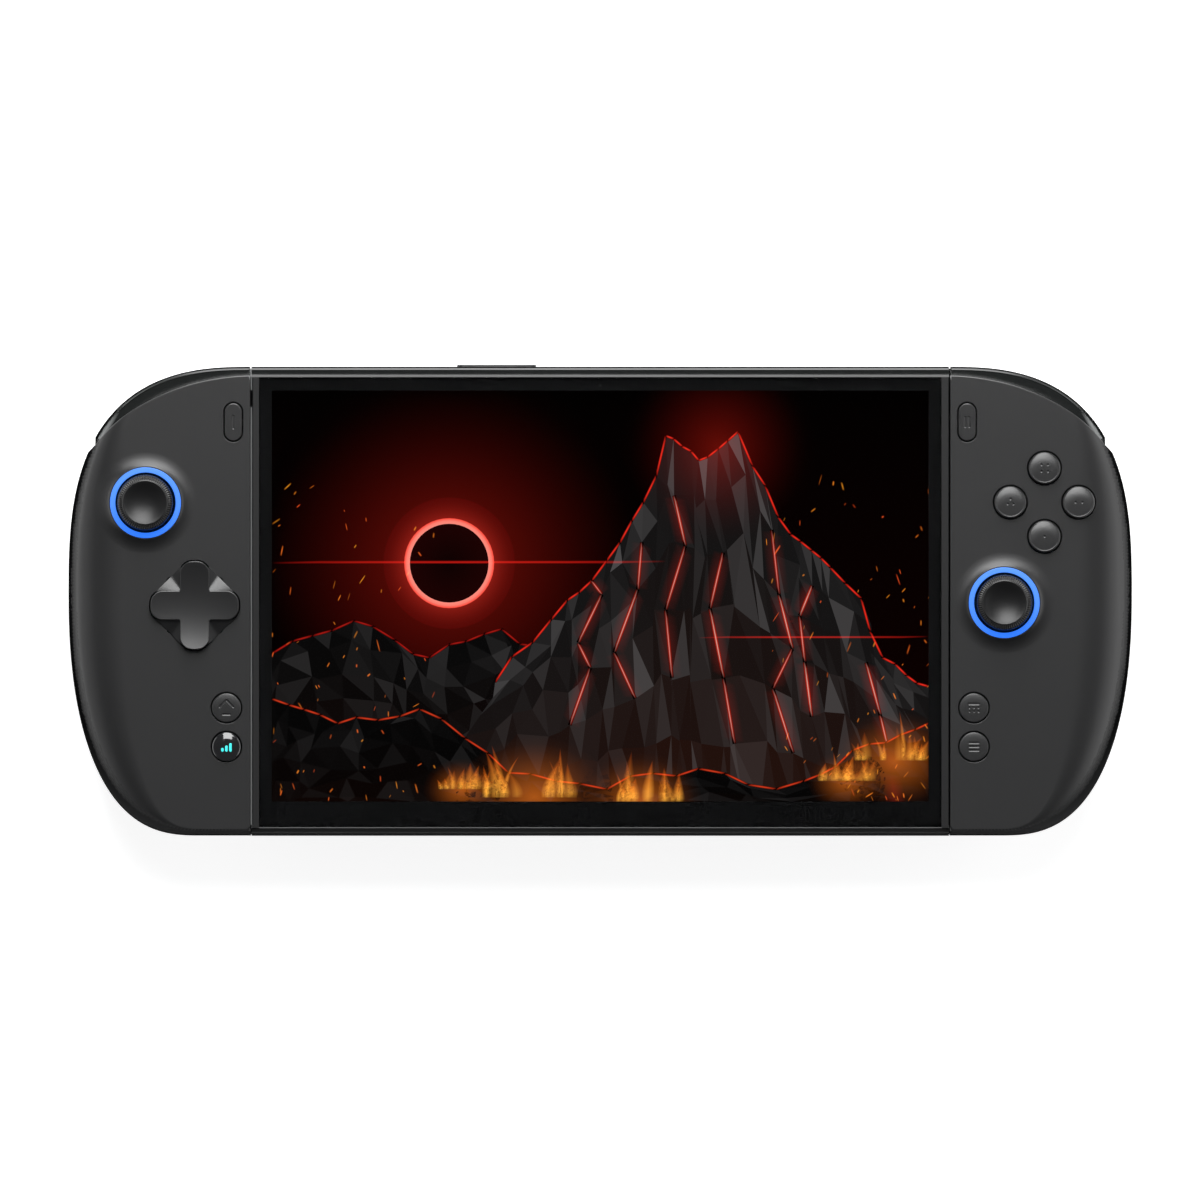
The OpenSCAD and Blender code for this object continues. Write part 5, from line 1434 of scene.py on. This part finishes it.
def painted_gap_strips():
    """Painted strips that close the gap beside the tablet: at both ends of its top rail, pale on the left as painted
    light and dark on the right as painted shade, and lower along both seams dark as painted shade.
    """
    heights, span = (FRAME_LOW[2] + 1, FRAME_TOP), (SEAM_END, HALF_H - 0.5)
    left, right = (-TABLET_HALF, 0.02 - SEAM), (SEAM - 0.02, TABLET_HALF)
    painted_gap_strip("seam_gap_light_left", left, heights, span, GAP_LIGHT)
    painted_gap_strip("seam_gap_shade_right", right, heights, span, SHADE)
    for name, ends in (("seam_gap_shade_low_left", left), ("seam_gap_shade_low_right", right)):
        painted_gap_strip(name, ends, (FRAME_TOP - 3, FRAME_TOP - 1), (0.5 - HALF_H, SEAM_END), SHADE)


def painted_gap_strip(name, ends, heights, span, material):
    """Strip with softened upper edges, long along Y."""
    (inner, outer), (low, top), soft = ends, heights, 0.06
    profile = [(inner, low), (inner, top - soft), (inner - soft, top),
               (outer + soft, top), (outer, top - soft), (outer, low)]
    form = Form()
    extruded(form, profile, *span, "y", [0] * 5)
    make(name, form, "tablet", [material])


def extruded(form, profile, low, high, along, marks):
    """Facets of a profile of (across, height) points, run from high to low, drawn along X or Y, with caps."""
    spot = lambda v, a, z: (v, a, z) if along == "x" else (a, v, z)
    for (a, za), (b, zb), mark in zip(profile, profile[1:], marks):
        points = [spot(low, a, za), spot(high, a, za), spot(high, b, zb), spot(low, b, zb)]
        form.add(points, [range(4)], [spot(0, *unit((zb - za, a - b)))] * 4, mark)
    n = len(profile)
    for v, way in ((low, -1), (high, 1)):
        form.add([spot(v, a, z) for a, z in profile], [range(n)], [spot(way, 0, 0)] * n)


def face_bezel():
    """Border round the glass: a bevel along its upper rim, flat sides and a narrow lower rim. Its inner walls and
    the shelves under the glass take the near-black border finish as painted shade.
    """
    low, shelf, side, shelf_w = FRAME_TOP, GLASS_UNDER, TABLET_HALF, 3
    rim, inner = HALF_H - RAIL_W, HALF_H - RAIL_W - 0.58
    foot_inner, wall_x = FOOT_RIM + 0.4, GLASS_HIGH[0] + 0.1
    upper = [(rim, low), (rim, FACE - 0.13), (inner, FACE), (inner, shelf), (inner - shelf_w, shelf)]
    lower = [(foot_inner + shelf_w, shelf), (foot_inner, shelf), (foot_inner, FACE - 0.04),
             (foot_inner - 0.2, FACE), (FOOT_RIM, FACE), (FOOT_RIM, low)]
    strip = [(side, low), (side, FACE - 0.12), (side - 0.12, FACE), (wall_x, FACE), (wall_x, shelf)]
    form = Form()
    extruded(form, upper, -side, side, "x", (0, 0, 1, 1))
    extruded(form, lower, -side, side, "x", (1, 1, 0, 0, 0))
    extruded(form, strip, FOOT_RIM, inner, "y", (0, 0, 0, 1))
    extruded(form, [(-x, z) for x, z in strip[::-1]], FOOT_RIM, inner, "y", (1, 0, 0, 0))
    make("face_bezel", form, "tablet", [BEZEL, MASK_AND_SHADE], ["front_bezel"])


def frame_rails():
    """Bright-edged rail along the top of the tablet, its steep outer edge in the darkest rim finish as painted
    shade, and one along its bottom whose flat is painted paler as painted light in the shadow of the bezel's wall,
    its chamfer and edge in painted shade.
    """
    top, inner = FRAME_TOP, HALF_H - RAIL_W
    hollow = ((0.55, 0.02), (0.3, 0.032), (0.15, 0.046), (0.0, 0.066))
    head = [(HALF_H - d, top + h) for d, h in zip(RAIL_INSET, RAIL_RISE)]
    head += [(inner + d, top + h) for d, h in hollow]
    foot = [(FOOT_RIM, top + 0.02), (0.75 - HALF_H, top + 0.02), (0.3 - HALF_H, top - 0.25)]
    foot.append((-HALF_H, top - 1.1))
    form = Form()
    extruded(form, head, -TABLET_HALF, TABLET_HALF, "x", [1] + [0] * 7)
    extruded(form, foot, -TABLET_HALF, TABLET_HALF, "x", (2, 1, 1))
    make("frame_rails", form, "tablet", [GLOSS, BUMPER_RIM[-1], LOW_RAIL_LIT])


def power_cap():
    """Power button, level with the frame."""
    data = NODES["power_button"].data.copy()
    for v in data.vertices:
        v.co.y = min(v.co.y, (HALF_H - 0.03) * MM)
    soften(add_piece("power_cap", data, "power_key", ["power_button"]), 0.2)


def frame_band():
    """Mid frame, tucked under the top rail, with the darkest rim finish on the chamfer that faces down, as painted
    shade.
    """
    data = NODES["mid_frame"].data.copy()
    chamfer, tuck = 0.9, 1.2
    for v in data.vertices:
        if v.co.y > (HALF_H - chamfer) * MM and v.co.z > (FRAME_TOP - chamfer) * MM:
            v.co.z -= tuck * MM
    data.materials.append(BUMPER_RIM[-1])
    for face in data.polygons:
        if face.normal.y < -0.3 and face.normal.z > 0.2:
            face.material_index = 1
    soften(add_piece("frame_band", data, "tablet", ["mid_frame"]), 0.12)


# Pieces

DOT = 0.95
FACE_MARKS = {
    "south_button": [(0, 0, 0, 0)],
    "east_button": [(s * DOT, 0, 0, 0) for s in (-1, 1)],
    "west_button": [(DOT * math.cos(a), DOT * math.sin(a), 0, 0) for a in np.radians((90, 210, 330))],
    "north_button": [(s * DOT, t * DOT, 0, 0) for s in (-1, 1) for t in (-1, 1)],
}
SMALL_MARKS = {
    "home_button": [(1.0, 1.2, 2.6, 45), (-1.0, 1.2, 2.6, -45), (0, -1.9, 2.0, 90)],
    "keyboard_button": [(0, 1.1, 2.8, 90)] + [(x * 1.3, -1.1 * y, 0, 0) for x in (-1, 0, 1) for y in (0, 1)],
    "menu_button": [(0, y * 1.1, 2.6, 90) for y in (-1, 0, 1)],
}
PILL_MARKS = {"back_button": (-1, [(0, 0, 3.4, 0)]), "start_button": (1, [(x, 0, 2.6, 0) for x in (-0.6, 0.6)])}


def button_cap(name, form):
    make(f"{name}_cap", form, name, [BUTTON], [name])


dress_nodes()
for side in ("left", "right"):
    controller = f"{side}_controller"
    make(f"{side}_face_shell", front_shell(side), controller, [SHELL] + RIM, [f"{side}_front_shell"])
    make(f"{side}_shoulder_bar", bumper(side), f"{side}_bumper", [BUMPER_TOP_LIT] + BUMPER_RIM + [GLOSS],
         [f"{side}_bumper"])
    rear_shell(side, REAR)
    place = LEFT_STICK * (-1, 1) if side == "left" else RIGHT_STICK
    make(f"{side}_stick_cap", stick_cap(place), f"{side}_stick", [RUBBER], [f"{side}_stick"])
    make(f"{side}_ring_light", light_ring(place), controller, [RING], [f"{side}_light_ring"])

make("direction_cross", direction_pad(), "dpad", [BUTTON], ["dpad"])
for name, marks in FACE_MARKS.items():
    button_cap(name, marked_button(name, FACE_R, FACE_PROUD, 15.0, 0.55, marks, bead=(0, -1.5)))
for name, marks in SMALL_MARKS.items():
    button_cap(name, marked_button(name, SMALL_R, SMALL_PROUD, 40.0, 0.3, marks, 0.12, 0.3))
cap = marked_button("turbo_button", SMALL_R, TURBO_PROUD, 12.0, 0.25, [], bead=(1.3, 0), arch=0.035)
make("turbo_button_cap", cap, "turbo_button", [PIANO], ["turbo_button"])
make("turbo_button_mark", level_mark("turbo_button", TURBO_PROUD), "turbo_button", [CYAN])
for name, (side, marks) in PILL_MARKS.items():
    button_cap(name, pill_button(side, marks))
cover_glass()
glass_mask()
light_sensor()
screen_picture()
seam_lines()
painted_gap_strips()
frame_band()
face_bezel()
frame_rails()
power_cap()


# Floor, light and camera

FLOOR_LIFT = 0.82
FLOOR_Z, FLOOR_R, BACKDROP_R = -0.05, 8000, 800


def floor_material():
    """Pale floor, lifted towards white where it is seen but not where it lights the object."""
    material, nodes, links, shader = new_material("studio_floor")
    tools = nodes, links
    grain = surface_noise(nodes, links, 6.0, 3.0)
    tone = mixed(*tools, grain, (0.70, 0.70, 0.70, 1), (0.74, 0.74, 0.74, 1))
    links.new(tone, shader.inputs["Base Color"])
    set_inputs(shader, Roughness=0.9, Specular_IOR_Level=0.0, Emission_Color=(1, 1, 1, 1))
    rays = nodes.new("ShaderNodeLightPath")
    seen = rays.outputs["Is Camera Ray"]
    for kind in ("Is Glossy Ray", "Is Transmission Ray"):
        seen = calculated(*tools, "ADD", seen, rays.outputs[kind])
    links.new(calculated(*tools, "MULTIPLY", seen, FLOOR_LIFT), shader.inputs["Emission Strength"])
    return material


def floor():
    """Pale floor that curves up into a far backdrop."""
    profile = [(0.001, FLOOR_Z)] + [(r, FLOOR_Z) for r in np.linspace(200, FLOOR_R, 24)]
    profile += [(FLOOR_R + BACKDROP_R * math.sin(t), FLOOR_Z + BACKDROP_R * (1 - math.cos(t)))
                for t in np.linspace(0.1, math.pi / 2, 10)]
    form = lathe(profile, 96)
    new_object("studio_floor", new_mesh("studio_floor", form.points, form.faces, [floor_material()]))


def area_light(name, place, target, size, power):
    data = bpy.data.lights.new(name, "AREA")
    data.shape = "RECTANGLE"
    data.size, data.size_y = size
    data.energy = power
    lamp = new_object(name, data)
    lamp.location = place
    lamp.rotation_euler = (Vector(target) - Vector(place)).to_track_quat("-Z", "Y").to_euler()
    lamp.visible_camera = False


def studio():
    """Dim grey surroundings, soft lamps beyond the top edge and at both sides, in metres and watts."""
    world = bpy.data.worlds.new("studio")
    bpy.context.scene.world = world
    world.use_nodes = True
    set_inputs(world.node_tree.nodes["Background"], Color=(0.06, 0.061, 0.063, 1), Strength=1.0)
    key_aim, side_aim = (0, 0, 0.03), (0, 0, 0.04)
    area_light("key", (0, 0.89, 0.85), key_aim, (0.8, 1.42), 26)
    area_light("key_low", (0, 1.3, 0.18), key_aim, (1.0, 0.32), 6)
    area_light("side_low_left", (-1.3, 0.1, 0.2), side_aim, (1.6, 0.36), 3.3)
    area_light("side_high_left", (-1.2, 0.1, 0.7), side_aim, (1.4, 0.5), 1.5)
    area_light("side_low_right", (1.25, 0.1, 0.36), side_aim, (1.6, 0.4), 3.1)
    area_light("side_high_right", (1.12, 0.1, 0.7), side_aim, (1.4, 0.6), 3.0)


def camera():
    """Long lens straight above the console, framed as in the photograph."""
    frame_w, distance, sensor = 0.3457, 6.0, 36.0
    data = bpy.data.cameras.new("camera")
    data.sensor_width = sensor
    data.lens = sensor * distance / frame_w
    data.clip_end = 40.0
    eye = new_object("camera", data)
    eye.location = (-0.00006, 0.00036, FACE * MM + distance)
    bpy.context.scene.camera = eye


floor()
studio()
camera()
bpy.context.scene.view_settings.view_transform = "Standard"
